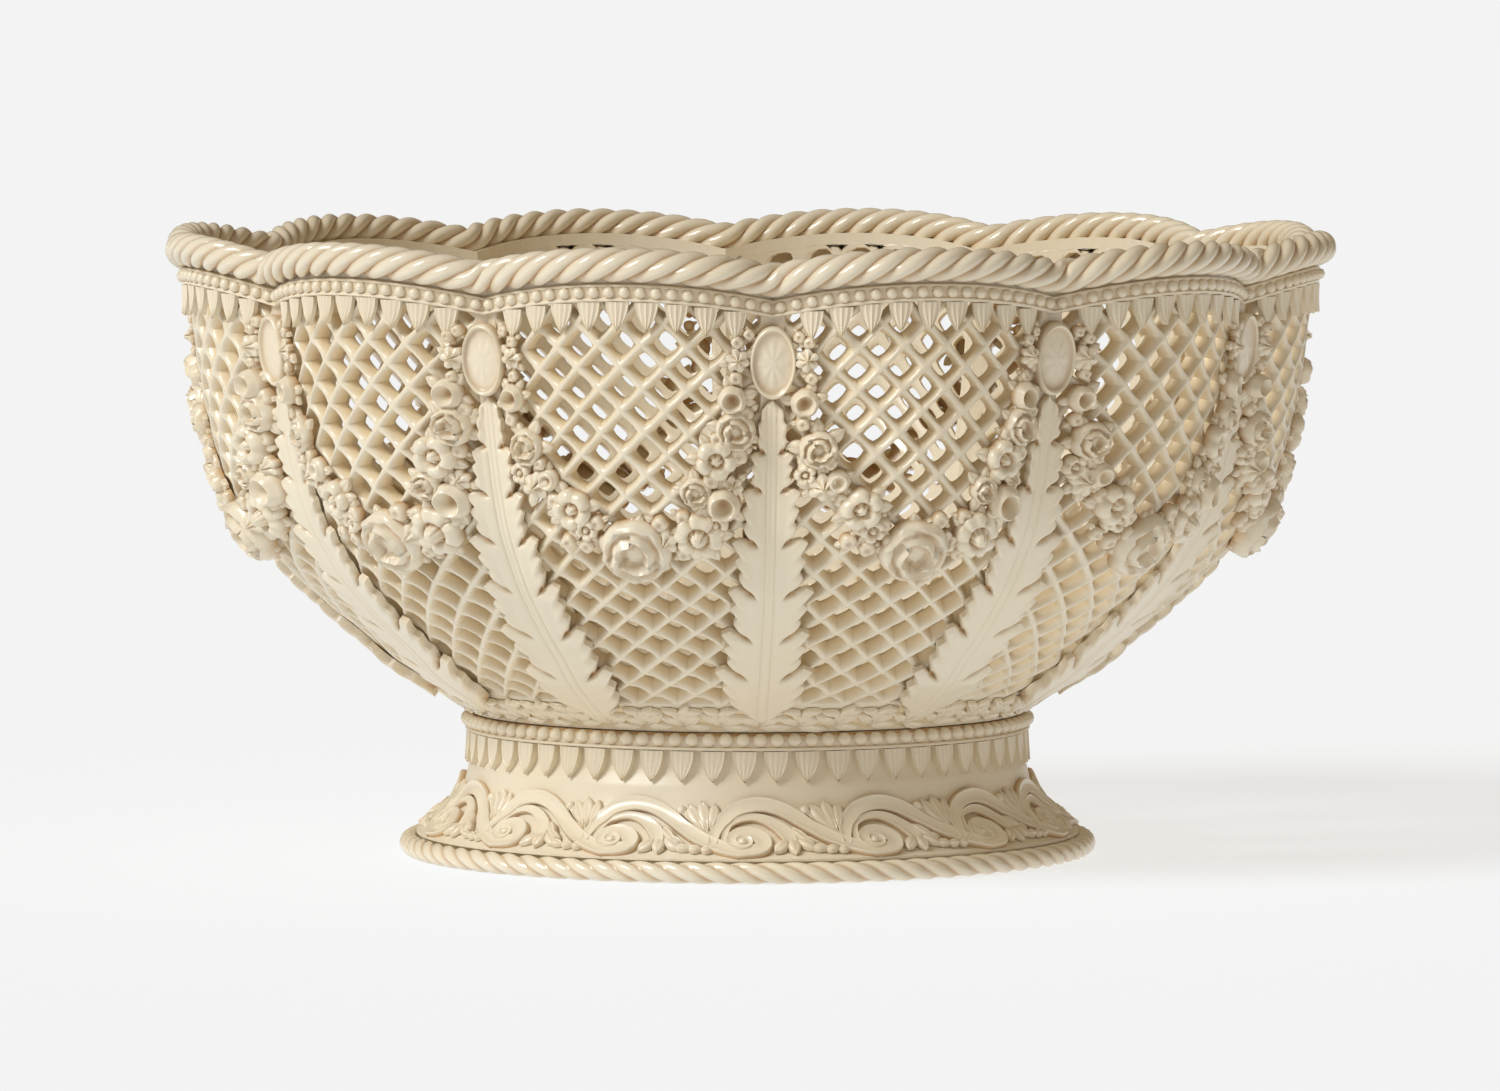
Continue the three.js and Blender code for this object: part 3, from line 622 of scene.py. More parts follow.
def add_panel_frame(clay, place):
    """The plain strips round the openwork, just below its crests. The wall's top stands in the rope."""
    up = np.linspace(0, 1, 30)[None]
    few = up[:, ::7]
    across = np.linspace(-1, 1, 25)[:, None]
    high, low = -STRIP_DROP, STRIP_DROP - WALL_THICKNESS
    end = WALL_LENGTH + WALL_IN_ROPE
    v = PANEL_START + (end - PANEL_START) * up
    # The strips are a little brown, most low down by the base: pooled glaze and painted shade.
    for side in (-1, 1):
        inner, outer = half_width(v) - SIDE_STRIP - STRIP_OVERLAP, half_width(v) + SEAT_GAP / 2
        left, right = (inner, outer) if side > 0 else (-outer, -inner)
        add_slab(clay, place, left + (right - left) * np.linspace(0, 1, 3)[:, None], v, high, low, 0.1)
    start = LATTICE_TOP - STRIP_OVERLAP
    v = start + RIM_WAVE * (1 - across**2) + (end - start) * few
    add_slab(clay, place, half_width(v) * across, v, high, low, 0.06)
    v = PANEL_START + (LATTICE_START + STRIP_OVERLAP - PANEL_START) * few + 0 * across
    add_slab(clay, place, half_width(v) * across, v, high, low, 0.25)


def make_wall():
    """Twelve panels, each with its own small unevenness of the holes."""
    for k in range(LOBES):
        rng = np.random.default_rng(100 + k)
        clay = Clay()
        place = lobe_place(k * LOBE)
        add_lattice(clay, place, rng)
        add_panel_frame(clay, place)
        name = f"wall_panel_{k + 1:02d}"
        clay.piece(f"openwork_{name}", "glazed_wall", [name])


# Ropes
ROPE_STRANDS = 4
ROPE_PITCHES = 140
ROPE_SIDES = 32
# How far the middle of a strand lies from the rope's middle, as a share of the rope's radius.
STRAND_SHARE = 0.49
VALLEY_EASE = 3.0
FOOT_ROPE_RADIUS = 2.75
FOOT_RADIUS = 90.0
FOOT_ROPE_STRANDS = 3
FOOT_ROPE_PITCHES = 84
FOOT_ROPE_SIDES = 24
FOOT_STRAND_SHARE = 0.38


def rope_section(radius, turned, strands, share):
    """How far the rope's surface lies from its middle at an angle relative to its twist: the outermost of
    its round strands, r = c cos(a) + sqrt(s^2 - c^2 sin(a)^2), with a from the nearest strand's middle.
    Also how deep it lies in the groove, from nothing to one."""
    part = TURN / strands
    centre, strand = radius * share, radius * (1 - share)

    def reach(a):
        return centre * np.cos(a) + np.sqrt(strand**2 - (centre * np.sin(a)) ** 2)

    surface = reach((turned + part / 2) % part - part / 2)
    return surface, ((radius - surface) / (radius - reach(part / 2))) ** 1.5


def add_rope(clay, path, radius, turns, sides, strands, share):
    """A twisted rope along a closed path of points, with a whole number of turns. The places round the
    section turn with the strands, so the grooves lie along the grid."""
    along = np.roll(path, -1, 0) - np.roll(path, 1, 0)
    along /= np.linalg.norm(along, axis=1)[:, None]
    out = np.cross(along, [0, 0, 1.0])
    out /= np.linalg.norm(out, axis=1)[:, None]
    upward = np.cross(out, along)
    own = TURN * np.arange(sides)[None] / sides
    around = own + turns * TURN * np.arange(len(path))[:, None] / len(path)
    reach, groove = rope_section(radius, own, strands, share)
    sideways = out[:, None] * np.cos(around)[..., None] + upward[:, None] * np.sin(around)[..., None]
    # Brown in the grooves between strands and on the rope's underside: pooled glaze and painted shade.
    under = np.clip(-np.sin(around), 0, 1) * 0.25
    add_ring(clay, path[:, None] + sideways * reach[..., None], groove * 0.75 + under)


def make_rim_rope():
    """The rope can't follow the sharp valleys: its path is averaged over a short stretch."""
    steps = ROPE_PITCHES * 10
    angle = TURN * np.arange(steps) / steps
    share = lobe_share(angle)
    spread = round(VALLEY_EASE / (TURN * ROPE_VALLEY_RADIUS / steps))
    share = sum(np.roll(share, k) for k in range(-spread, spread + 1)) / (2 * spread + 1)
    radius = ROPE_VALLEY_RADIUS + LOBE_DEPTH * share - STRIP_DROP
    path = round_point(angle, radius, ROPE_VALLEY_HEIGHT + RIM_WAVE * share)
    clay = Clay()
    add_rope(clay, path, ROPE_RADIUS, ROPE_PITCHES // ROPE_STRANDS, ROPE_SIDES, ROPE_STRANDS, STRAND_SHARE)
    clay.piece("rim_twisted_rope", "glazed_ropes", ["rim_rope"], sharp=60)


def make_foot_rope():
    """A plain ring of rope that twists the other way."""
    steps = FOOT_ROPE_PITCHES * 12
    angle = TURN * np.arange(steps) / steps
    path = round_point(angle, FOOT_RADIUS - FOOT_ROPE_RADIUS, FOOT_ROPE_RADIUS)
    turns = -FOOT_ROPE_PITCHES // FOOT_ROPE_STRANDS
    clay = Clay()
    add_rope(clay, path, FOOT_ROPE_RADIUS, turns, FOOT_ROPE_SIDES, FOOT_ROPE_STRANDS, FOOT_STRAND_SHARE)
    clay.piece("foot_twisted_rope", "glazed_ropes", ["foot_rope"], sharp=60)


# Bead and tongue bands under the rim
BEAD_BAND_HEIGHT = 4.4
# Section of the band: up from its lower edge, and lift off the wall.
BEAD_BAND_SECTION = (
    (0, 0.3), (0, 1.3), (0.35, 1.75), (0.8, 1.75), (1.15, 1.2), (3.6, 1.1), (3.75, 1.5), (4.1, 1.5),
    (4.4, 1.2), (4.4, 0.3),
)
# How brown each point of the section is, most where the band meets the wall and under its fillets: pooled
# glaze and painted shade.
BEAD_BAND_POOLS_AND_SHADE = (0.5, 0.15, 0, 0, 0.45, 0.4, 0.25, 0.1, 0.5, 0.5)
BEAD_BAND_STEPS = 720
BEADS = 240
BEAD_RADIUS = 1.5
BEAD_LIFT = 1.5
BEAD_RISE = 2.4
TONGUES_PER_LOBE = 9
TONGUE_PITCH = 7.1
TONGUE_LENGTH = 7.2
TONGUE_THICKNESS = 1.25
RIM_TONGUE_HALF_WIDTH = 2.7
RIM_TONGUE_FULLNESS = 1.85


def make_bead_band():
    """A band with two fillets that follows the rim, and round beads between them."""
    clay = Clay()
    angle = TURN * np.arange(BEAD_BAND_STEPS)[:, None] / BEAD_BAND_STEPS
    up, lift = (np.array(column)[None] for column in zip(*BEAD_BAND_SECTION))
    add_ring(clay, wall_point(angle, top_length(angle) - BEAD_BAND_HEIGHT + up, lift), BEAD_BAND_POOLS_AND_SHADE)
    angle = TURN * (np.arange(BEADS) + 0.5) / BEADS
    centres = wall_point(angle, top_length(angle) - BEAD_BAND_HEIGHT + BEAD_RISE, BEAD_LIFT)
    add_balls(clay, centres, BEAD_RADIUS)
    clay.piece("rim_beading", "glazed_relief", ["rim_bead_band"])


def tongue_grid(fullness, rows=13, columns=9):
    """Across and down a tongue, its half width as a share, an arch that ends in a point, and the height
    of its two fine ribs and raised edges."""
    s = np.linspace(-1, 1, rows)[:, None]
    t = np.linspace(1, 0, columns)[None]
    return s, t, 1 - t**fullness, np.cos(2 * TURN * s), 0.25 * s**6


def make_tongue_band():
    """Pointed tongues, rounded across, whose tips curl outwards."""
    clay = Clay()
    lobe, k = np.meshgrid(np.arange(LOBES), np.arange(TONGUES_PER_LOBE) - (TONGUES_PER_LOBE - 1) / 2)
    middle = ((lobe + 0.5) * LOBE + k * TONGUE_PITCH / mean_radius(WALL_LENGTH)).ravel()[:, None, None]
    s, t, share, ribs, edges = tongue_grid(RIM_TONGUE_FULLNESS)
    v = top_length(middle) - BEAD_BAND_HEIGHT - TONGUE_LENGTH * t
    angle = middle + s * RIM_TONGUE_HALF_WIDTH * share / wall_outline.at(v)[0]
    lift = 0.5 + TONGUE_THICKNESS * (1 - 0.55 * s**2) + 0.18 * ribs + edges + 0.6 * t**2
    # Brown between the ribs and at the tongue's root: pooled glaze and painted shade.
    add_slab(clay, wall_point, angle, v, lift, SEAT_GAP, 0.25 - 0.35 * ribs - 0.3 * t)
    clay.piece("rim_tongues", "glazed_relief", ["rim_tongue_band"])


# Medallions
MEDALLION_WIDTH = 11.4
MEDALLION_HEIGHT = 18.0
MEDALLION_DROP = 15.1
MEDALLION_SIDES = 40
MEDALLION_MIDDLE_LIFT = 4.1
ROSETTE_RELIEF = 0.22
# From the edge inwards: share of the half size, lift, and how brown it is, as pooled glaze and painted shade.
MEDALLION_SECTION = (
    (0.97, 0.4, 1), (1, 2.6, 0.6), (0.99, 3.7, 0.2), (0.96, 4.3, 0), (0.915, 4.5, 0), (0.875, 4.3, 0.15),
    (0.84, 3.8, 0.6), (0.79, 3.5, 0.55), (0.6, 3.55, 0.25), (0.42, 3.75, 0.1), (0.3, 3.9, 0.1),
    (0.15, 3.85, 0.2),
)


def make_medallions():
    """Oval shields with a rounded rim and a faint rosette of eight petals."""
    share, lift, pool = (np.array(column)[:, None] for column in zip(*MEDALLION_SECTION))
    around = TURN * np.arange(MEDALLION_SIDES)[None] / MEDALLION_SIDES
    u = MEDALLION_WIDTH / 2 * share * np.cos(around)
    v = WALL_LENGTH - MEDALLION_DROP + MEDALLION_HEIGHT / 2 * share * np.sin(around)
    petals = ROSETTE_RELIEF * np.cos(8 * around) * (share < 0.7) * share
    for k in range(LOBES):
        clay = Clay()
        add_dome(clay, flat_place(k * LOBE), u, v, lift + petals, MEDALLION_MIDDLE_LIFT, pool)
        name = f"medallion_{k + 1:02d}"
        clay.piece(f"oval_{name}", "glazed_relief", [name])


# Acanthus leaves
LEAF_TIP_DROP = 24.5
LEAF_LOBE_ROWS = 26
LEAF_COLUMNS = 37
LEAF_TIP_PLACE = 0.88
LEAF_TEETH = 3
LEAF_SWEEP = 6.5
# The midrib is a band between two lines. The grid's columns lie closer there.
LEAF_RIB_HALF_WIDTH = 1.15
LEAF_RIB_REACH = 2.1
LEAF_RIB_COLUMNS = 0.39
# Shares of the leaf's length where its lobes start, closer together towards the tip.
LEAF_LOBE_SHARES = (0, 0.155, 0.315, 0.47, 0.62, 0.755, 0.875, 1)
# Half width of the leaf at shares of its length.
LEAF_HALF_WIDTHS = ((0, 10.6), (0.15, 11.7), (0.35, 11), (0.6, 8.7), (0.8, 5.9), (0.92, 4.2), (1, 3.2))


def make_leaves():
    """Each leaf is a grid: t across from edge to edge, and q along, which counts the lobes from the foot.
    At p, the place within its lobe, the edge swings out and up to the lobe's tip and then drops back in,
    so that a slit parts it from the next lobe. Each lobe has small pointed teeth."""
    start, end = PANEL_START, WALL_LENGTH - LEAF_TIP_DROP
    lobes = len(LEAF_LOBE_SHARES) - 1
    q = np.linspace(0, lobes, lobes * LEAF_LOBE_ROWS + 1)[None]
    p = q % 1
    column = np.linspace(-1, 1, LEAF_COLUMNS)[:, None]
    near = np.abs(column) / LEAF_RIB_COLUMNS
    swing = np.where(p < LEAF_TIP_PLACE, (p / LEAF_TIP_PLACE) ** 0.6, ((1 - p) / (1 - LEAF_TIP_PLACE)) ** 0.8)
    saw = (p / LEAF_TIP_PLACE * LEAF_TEETH) % 1
    tooth = np.minimum(saw, (1 - saw) * 3) * (p < LEAF_TIP_PLACE)
    slit = np.minimum(p, 1 - p)
    for k in range(LOBES):
        rng = np.random.default_rng(500 + k)
        starts = np.array(LEAF_LOBE_SHARES)
        starts[1:-1] += rng.normal(0, 0.007, lobes - 1)
        s = np.interp(q, np.arange(lobes + 1), starts)
        left, right = (np.interp(q, np.arange(lobes + 1), rng.normal(0, 0.06, lobes + 1)) for _ in range(2))
        uneven = 1 + np.where(column < 0, left, right)
        end_round = np.sqrt(np.clip(1 - (np.clip(s - 0.9, 0, 1) / 0.1) ** 2, 0.01, 1))
        envelope = np.interp(s, *zip(*LEAF_HALF_WIDTHS))
        half = envelope * (0.58 + 0.28 * swing + 0.3 * tooth * (0.4 + 0.6 * p)) * end_round * uneven
        rib = np.minimum(LEAF_RIB_REACH, 0.6 * half)
        out = np.where(near < 1, near * rib, rib + (half - rib) * (near - 1) / (1 / LEAF_RIB_COLUMNS - 1))
        side = out / half
        sweep = LEAF_SWEEP * envelope / 10 * side**1.5 * (0.45 + 0.55 * swing) * (1 - s**5)
        v = np.minimum(start + (end - start) * s + sweep, end + 1.5)
        outer = np.clip((side - 0.55) / 0.25, 0, 1)
        line = bump(out, LEAF_RIB_HALF_WIDTH, 0.3)
        eye = bump(side, 0.78, 0.13) * bump(slit, 0, 0.07) * (s < 0.95)
        body = (3.0 - 0.9 * s) * (1 - 0.4 * side**2) + 0.12 * (out < LEAF_RIB_HALF_WIDTH)
        puff = 0.55 * np.sin(math.pi * p**0.8) * outer
        groove = 0.8 * bump(slit, 0, 0.07) * outer
        vein = 0.12 * np.cos(TURN * (p / LEAF_TIP_PLACE * LEAF_TEETH)) * outer * (p < LEAF_TIP_PLACE)
        lift = np.maximum(0.9, 0.3 + body + puff - 0.25 * line - groove - vein - 1.2 * eye)
        # Brown in the slits, eyes, veins, midrib lines and at the edges by the wall: pooled glaze and painted
        # shade.
        pool = 0.4 * groove + 0.15 * np.clip(vein / 0.12, 0, 1) + 0.2 * side**4 + 0.22 * line + 0.8 * eye
        clay = Clay()
        add_slab(
            clay, valley_place(k * LOBE), out * np.sign(column), v, lift - 0.4 * (side > 0.99), SEAT_GAP,
            np.clip(pool, 0, 1),
        )
        name = f"acanthus_leaf_{k + 1:02d}"
        clay.piece(f"carved_{name}", "glazed_relief", [name])


# Flower garlands
# Each flower: kind, place across from mid lobe, height, radius.
GARLAND = (
    ("cup", -29.1, 124.1, 3.2), ("rose", -25.4, 112.9, 4.2), ("star", -23.2, 103.1, 3.4),
    ("ring", -19.8, 104.6, 2.6), ("blossom", -13.9, 97.5, 4.6), ("bud", -7.6, 93.8, 2),
    ("bud", -15.9, 89.6, 1.9), ("bud", -11, 87.9, 2), ("rose", 0.7, 87.2, 7.6), ("bud", 7.1, 94.3, 2.1),
    ("bud", 13.2, 95, 1.9), ("daisy", 16.9, 91.3, 5.4), ("rose", 17.4, 101.6, 3.2), ("cup", 24, 98.4, 4.2),
    ("blossom", 22.3, 109.7, 4.7), ("rose", 27.4, 117, 4.4), ("cup", 27.4, 125.1, 3.4),
    ("star", -29, 134.2, 2.7), ("bud", -31.4, 140.3, 1.4), ("bud", -28.6, 138.5, 1.5),
    ("bud", -28.3, 129.9, 1.5), ("star", 29, 134.2, 2.7), ("bud", 31.4, 140.3, 1.4),
    ("bud", 28.6, 138.5, 1.5), ("bud", 28.3, 129.9, 1.5), ("bud", -29.5, 118.6, 1.8),
    ("bud", -21.6, 108.6, 1.7), ("blossom", -27.6, 106.6, 2.6), ("bud", -18.6, 99.4, 2),
    ("blossom", -10.4, 92.6, 2.7), ("bud", -5.6, 89.2, 2), ("star", 8.6, 89.4, 3), ("bud", 5.6, 83.4, 1.7),
    ("bud", 12.4, 86.6, 1.8), ("blossom", 21.2, 93.6, 2.8), ("bud", 20.4, 104.9, 1.9),
    ("star", 26.6, 103.9, 2.6), ("bud", 22.8, 115.2, 1.7), ("bud", 30.4, 121.3, 1.9),
    ("bud", 27.6, 110.8, 2), ("bud", -13.6, 92.6, 1.7),
)
# Rings of a flower's dome as shares of its radius, from the rim inwards.
FLOWER_RINGS = np.array([1, 0.97, 0.9, 0.82, 0.74, 0.66, 0.58, 0.5, 0.42, 0.34, 0.25, 0.14])
BUD_RINGS = np.array([1, 0.92, 0.7, 0.4, 0.2])
FLOWER_SIDES = 32
BUD_SIDES = 12
PETALS = {"blossom": 5, "daisy": 9, "star": 6, "ring": 0, "cup": 5, "rose": 5, "bud": 4}
FLOWER_GROWTH = 1.14
FLOWER_SCATTER = 0.35
FLOWER_TALLEST = 6.2
# A flower's small leaves start at this share of its radius.
LEAFLET_START = 0.65
LEAFLET_LONGEST = 4.6
LEAFLET_SLIMNESS = 0.68


def flower_form(kind, rho, around):
    """Outline share, height share and how brown a flower is, as pooled glaze and painted shade, by ring and
    angle. Petals are bumps of the cosine of half their count times the angle. A ring has none and is round."""
    petal = np.abs(np.cos(PETALS[kind] / 2 * around))
    if kind == "blossom":
        part = bump(petal, 0, 0.3)
        outline = 0.8 + 0.2 * petal**0.5
        height = 0.5 + 0.28 * np.sin(math.pi * np.clip(rho * 1.05 - 0.05, 0, 1) ** 1.6)
        height = height + 0.4 * bump(rho, 0, 0.2) - 0.22 * part * rho - 0.25 * bump(rho, 0.33, 0.1)
        pool = 0.55 * part + 0.6 * bump(rho, 0.33, 0.09)
    elif kind == "daisy":
        part = bump(petal, 0, 0.35)
        outline = 0.87 + 0.13 * petal**0.6
        height = 0.5 + 0.2 * np.sin(math.pi * rho**1.3) - 0.2 * part * rho
        height = height + 0.5 * np.exp(-((rho / 0.27) ** 4)) - 0.25 * bump(rho, 0.4, 0.08)
        pool = 0.55 * part + 0.65 * bump(rho, 0.4, 0.08)
    elif kind == "star":
        outline = 0.7 + 0.3 * petal
        height = 0.5 + 0.4 * petal * (1 - rho) + 0.3 * bump(rho, 0, 0.25)
        pool = 0.6 * (1 - petal) ** 1.5
    elif kind == "ring":
        outline = petal
        height = 0.5 + 0.4 * bump(rho, 0.62, 0.2)
        pool = bump(rho, 0, 0.3)
    elif kind == "cup":
        outline = 0.94 + 0.06 * petal
        height = 0.4 + 0.6 * bump(rho, 0.66, 0.22) - 0.3 * bump(rho, 0, 0.3) + 0.06 * petal
        pool = bump(rho, 0, 0.35) + 0.3 * (rho > 0.9)
    elif kind == "rose":
        # Two rows of petals, five and three, whose crests run inwards as they turn.
        outer_turn, inner_turn = ((around / TURN * count + 0.2) % 1 - 0.5 for count in (5, 3))
        outline = 0.9 + 0.1 * petal**0.5
        height = 0.42 + 0.36 * bump(rho, 0.82 + 0.12 * outer_turn, 0.11) + 0.25 * bump(rho, 0, 0.2)
        height = height + 0.56 * bump(rho, 0.48 + 0.18 * inner_turn, 0.13)
        gap = bump(rho, 0.66 + 0.15 * inner_turn, 0.07) + bump(rho, 0.3, 0.08)
        pool = 0.75 * gap + 0.3 * (1 - petal) ** 2 * (rho > 0.7)
    else:
        outline = 0.86 + 0.14 * petal
        height = 0.35 + 0.55 * np.sqrt(1 - rho**2) - 0.3 * bump(rho, 0, 0.3) - 0.12 * (1 - petal) * rho
        pool = 0.5 * rho**4 + 0.7 * bump(rho, 0, 0.35) + 0.3 * (1 - petal)
    return outline, height, pool


def add_flower(clay, place, kind, u, v, radius, rng):
    """One flower, turned at random. It stands the higher the larger it is, up to a limit."""
    rings, sides = (BUD_RINGS, BUD_SIDES) if kind == "bud" else (FLOWER_RINGS, FLOWER_SIDES)
    around = TURN * np.arange(sides)[None] / sides
    outline, height, pool = flower_form(kind, rings[:, None], around)
    reach = radius * rings[:, None] * outline
    twist = rng.uniform(0, TURN)
    tall = min(2.2 + 0.6 * radius, FLOWER_TALLEST) * (1 + 0.06 * rng.standard_normal())
    lift = SEAT_GAP + tall * height
    lift[0] = SEAT_GAP
    pool = np.clip(pool, 0, 1) + 0 * reach
    # The rim where the flower meets the wall is fully brown: pooled glaze and painted shade.
    pool[0] = 1
    flower_u, flower_v = u + reach * np.cos(around + twist), v + reach * np.sin(around + twist)
    add_dome(clay, place, flower_u, flower_v, lift, lift[-1].mean(), pool, pool[-1].mean())


def add_leaflet(clay, place, u, v, heading, length, width, widest=0.8):
    """A small pointed leaf with a sunk middle vein, on a grid from stem to tip."""
    s = np.linspace(0, 1, 7)[None]
    t = np.linspace(-1, 1, 5)[:, None]
    half = width / 2 * np.sin(math.pi * s**widest) ** 0.8 * t
    lift = 0.5 + 1.6 * (1 - 0.5 * t**2) * np.sin(math.pi * (0.15 + 0.7 * s)) - 0.4 * bump(t, 0, 0.2)
    # Brown in the vein and at the edges: pooled glaze and painted shade.
    pool = 0.5 * bump(t, 0, 0.25) + 0.4 * t**4 + 0 * s
    leaf_u = u + math.cos(heading) * length * s + math.sin(heading) * half
    leaf_v = v + math.sin(heading) * length * s - math.cos(heading) * half
    # Rows run to the right of the heading, so they are turned round for a slab that faces outwards.
    add_slab(clay, place, leaf_u[::-1], leaf_v[::-1], lift[::-1], SEAT_GAP, pool[::-1])


def make_garlands():
    """Flowers crowded on one another, with small leaves that show between them."""
    for k in range(LOBES):
        rng = np.random.default_rng(300 + k)
        clay = Clay()
        place = lobe_place(k * LOBE)
        for kind, u, height, radius in GARLAND:
            v = wall_outline.length_at_height(height)
            u = u + FLOWER_SCATTER * rng.standard_normal()
            v = v + FLOWER_SCATTER * rng.standard_normal()
            add_flower(clay, place, kind, u, v, radius * (FLOWER_GROWTH + 0.05 * rng.standard_normal()), rng)
            leaves = 5 if radius > 3 else 2
            first = rng.uniform(0, TURN)
            for leaf in range(leaves):
                heading = first + leaf * TURN / leaves + 0.4 * rng.standard_normal()
                leaf_u = u + LEAFLET_START * radius * math.cos(heading)
                leaf_v = v + LEAFLET_START * radius * math.sin(heading)
                length = min(1.2 * radius, LEAFLET_LONGEST) * rng.uniform(0.85, 1.15)
                add_leaflet(clay, place, leaf_u, leaf_v, heading, length, LEAFLET_SLIMNESS * length)
        name = f"flower_garland_{k + 1:02d}"
        clay.piece(f"modelled_{name}", "glazed_relief", [name], sharp=70)


# Base dish, with its floor and the moulded border that the wall grows from
FLOOR_THICKNESS = 5.0
DISH_STEPS = 240
BORDER_LEAVES = 48
BORDER_RELIEF = 0.85
# One spray of the border: heading, height of its start, length and width of each leaf.
BORDER_SPRAY = (
    (0.05, 1.4, 7.5, 2.8), (0.75, 2.4, 7.4, 3), (1.45, 3, 6, 3), (2.5, 2.6, 7.2, 2.8), (-0.1, 6.4, 4.6, 2.2),
    (2.2, 5.2, 4, 2), (1.1, 6.2, 5.4, 2.6), (2.7, 7.6, 5, 2.4), (0.2, 8.6, 5, 2.4),
)


def turned_ring(clay, outline, steps, pool=0.0):
    """A turned piece: a closed outline of radius and height, in the order of a ring's section."""
    angle = TURN * np.arange(steps)[:, None] / steps
    radius, height = (np.array(column, float)[None] for column in zip(*outline))
    add_ring(clay, round_point(angle, radius, height), pool)


def make_base_dish():
    """The floor and the first of the wall, turned, with a border of small crossing leaves outside."""
    clay = Clay()
    under = FOOT_HEIGHT + SEAT_GAP
    floor_height = under + FLOOR_THICKNESS
    length = np.linspace(0, PANEL_START - 0.05, 12)
    r, z, nr, nz = wall_outline.at(length)
    swell = 0.2 * np.sin(math.pi * length / PANEL_START)
    inner = r[-1] - WALL_THICKNESS * nr[-1]
    outline = [
        (WELD, under), (WALL_FOOT_RADIUS, under), *zip(r + swell * nr, z + swell * nz),
        (inner, z[-1] - WALL_THICKNESS * nz[-1]), (inner - 4, floor_height + 0.4), (inner - 8, floor_height),
        (WELD, floor_height),
    ]
    # The outer face under the border leaves is brown, pooled glaze and painted shade between them; the
    # underside and inside less so.
    turned_ring(clay, outline, DISH_STEPS, [0.4] * 2 + [0.85] * 12 + [0.2] * 4)
    rng = np.random.default_rng(7)

    def place(u, v, lift):
        return wall_point(u / WALL_FOOT_RADIUS, v, BORDER_RELIEF * lift - 0.1)

    for k in range(BORDER_LEAVES):
        u = k * TURN * WALL_FOOT_RADIUS / BORDER_LEAVES
        for heading, start, length, width in BORDER_SPRAY:
            turned = heading + 0.12 * rng.standard_normal()
            add_leaflet(clay, place, u, start, turned, length * rng.uniform(0.9, 1.1), width)
    clay.piece("base_dish_with_border", "glazed_wall", ["base_dish"])


# Foot
FOOT_WALL = 5.0
FOOT_LEDGE_HEIGHT = 7.0
FOOT_EDGE_RADIUS = 83.7
FOOT_LIP_RADIUS = 85.6
FOOT_LIP_HEIGHT = 6.1
FOOT_SHOULDER_RADIUS = 72.0
FOOT_SHOULDER_HEIGHT = 23.6
FOOT_NECK_RADIUS = 70.4
FOOT_FILLET = 6.0
FOOT_STEPS = 480
FOOT_BEADS = 105
FOOT_BEAD_RADIUS = 1.92
FOOT_BEAD_HEIGHT = 34.9
# Section of the collar: out from the neck, and height.
FOOT_COLLAR = (
    (0, 32.2), (1.9, 32.2), (2.3, 32.5), (2.2, 32.9), (1.5, 33.2), (1.5, 34), (1.5, 35.6), (1.3, 36),
    (1, FOOT_HEIGHT), (0, FOOT_HEIGHT),
)
# How brown each point of the collar's section is, most in the groove above the beads: pooled glaze and
# painted shade.
FOOT_COLLAR_POOLS_AND_SHADE = (0.5, 0.2, 0, 0.1, 0.3, 0.3, 0.5, 1, 1, 1)
FOOT_TONGUES = 57
FOOT_TONGUE_TOP = 32.0
FOOT_TONGUE_LENGTH = 7.9
FOOT_TONGUE_HALF_WIDTH = 2.95
FOOT_TONGUE_FULLNESS = 2.2
FOOT_SHARES = ((0, 0), (0.197, 0.096), (0.453, 0.253), (0.692, 0.416), (0.889, 0.687), (1, 1))
foot_outline = Outline([
    (FOOT_EDGE_RADIUS + (FOOT_SHOULDER_RADIUS - FOOT_EDGE_RADIUS) * fall,
     FOOT_LEDGE_HEIGHT + (FOOT_SHOULDER_HEIGHT - FOOT_LEDGE_HEIGHT) * rise)
    for fall, rise in FOOT_SHARES
])


def foot_point(angle, length, lift):
    """Points on the foot's slope, lifted off it along its normal."""
    r, z, nr, nz = foot_outline.at(length)
    return round_point(angle, r + lift * nr, z + lift * nz)


def make_foot():
    """The hollow foot, turned: an edge with a lip, a hollow slope, a shoulder and a neck."""
    clay = Clay()
    r, z, _, _ = foot_outline.at(np.linspace(0, foot_outline.whole, 24))
    rise = np.linspace(0.1, 1, 10)
    fall = (FOOT_SHOULDER_RADIUS - FOOT_NECK_RADIUS) * (1 - rise) ** 2
    outline = [
        (FOOT_EDGE_RADIUS, 0), (FOOT_EDGE_RADIUS, FOOT_LIP_HEIGHT - 0.8),
        (FOOT_LIP_RADIUS, FOOT_LIP_HEIGHT - 0.6), (FOOT_LIP_RADIUS, FOOT_LIP_HEIGHT), *zip(r, z),
        *zip(FOOT_NECK_RADIUS + fall, FOOT_SHOULDER_HEIGHT + FOOT_FILLET * rise),
        (FOOT_NECK_RADIUS, FOOT_HEIGHT), (FOOT_NECK_RADIUS - FOOT_WALL, FOOT_HEIGHT),
        *zip(r[::-1] - FOOT_WALL, z[::-1]), (FOOT_EDGE_RADIUS - FOOT_WALL, 0),
    ]
    turned_ring(clay, outline, FOOT_STEPS)
    clay.piece("turned_foot", "glazed_foot", ["foot"])


def make_foot_bead_ring():
    """A collar with upright beads, a fillet below them and a groove above."""
    clay = Clay()
    back = FOOT_NECK_RADIUS + SEAT_GAP
    section = [(back + out, height) for out, height in FOOT_COLLAR]
    turned_ring(clay, section, FOOT_STEPS, FOOT_COLLAR_POOLS_AND_SHADE)
    angle = TURN * np.arange(FOOT_BEADS) / FOOT_BEADS
    centres = round_point(angle, back + FOOT_COLLAR[5][0], FOOT_BEAD_HEIGHT)
    add_balls(clay, centres, FOOT_BEAD_RADIUS, stretch=(1, 1, 0.9), sides=10, rings=5)
    clay.piece("foot_beading", "glazed_relief", ["foot_bead_ring"])


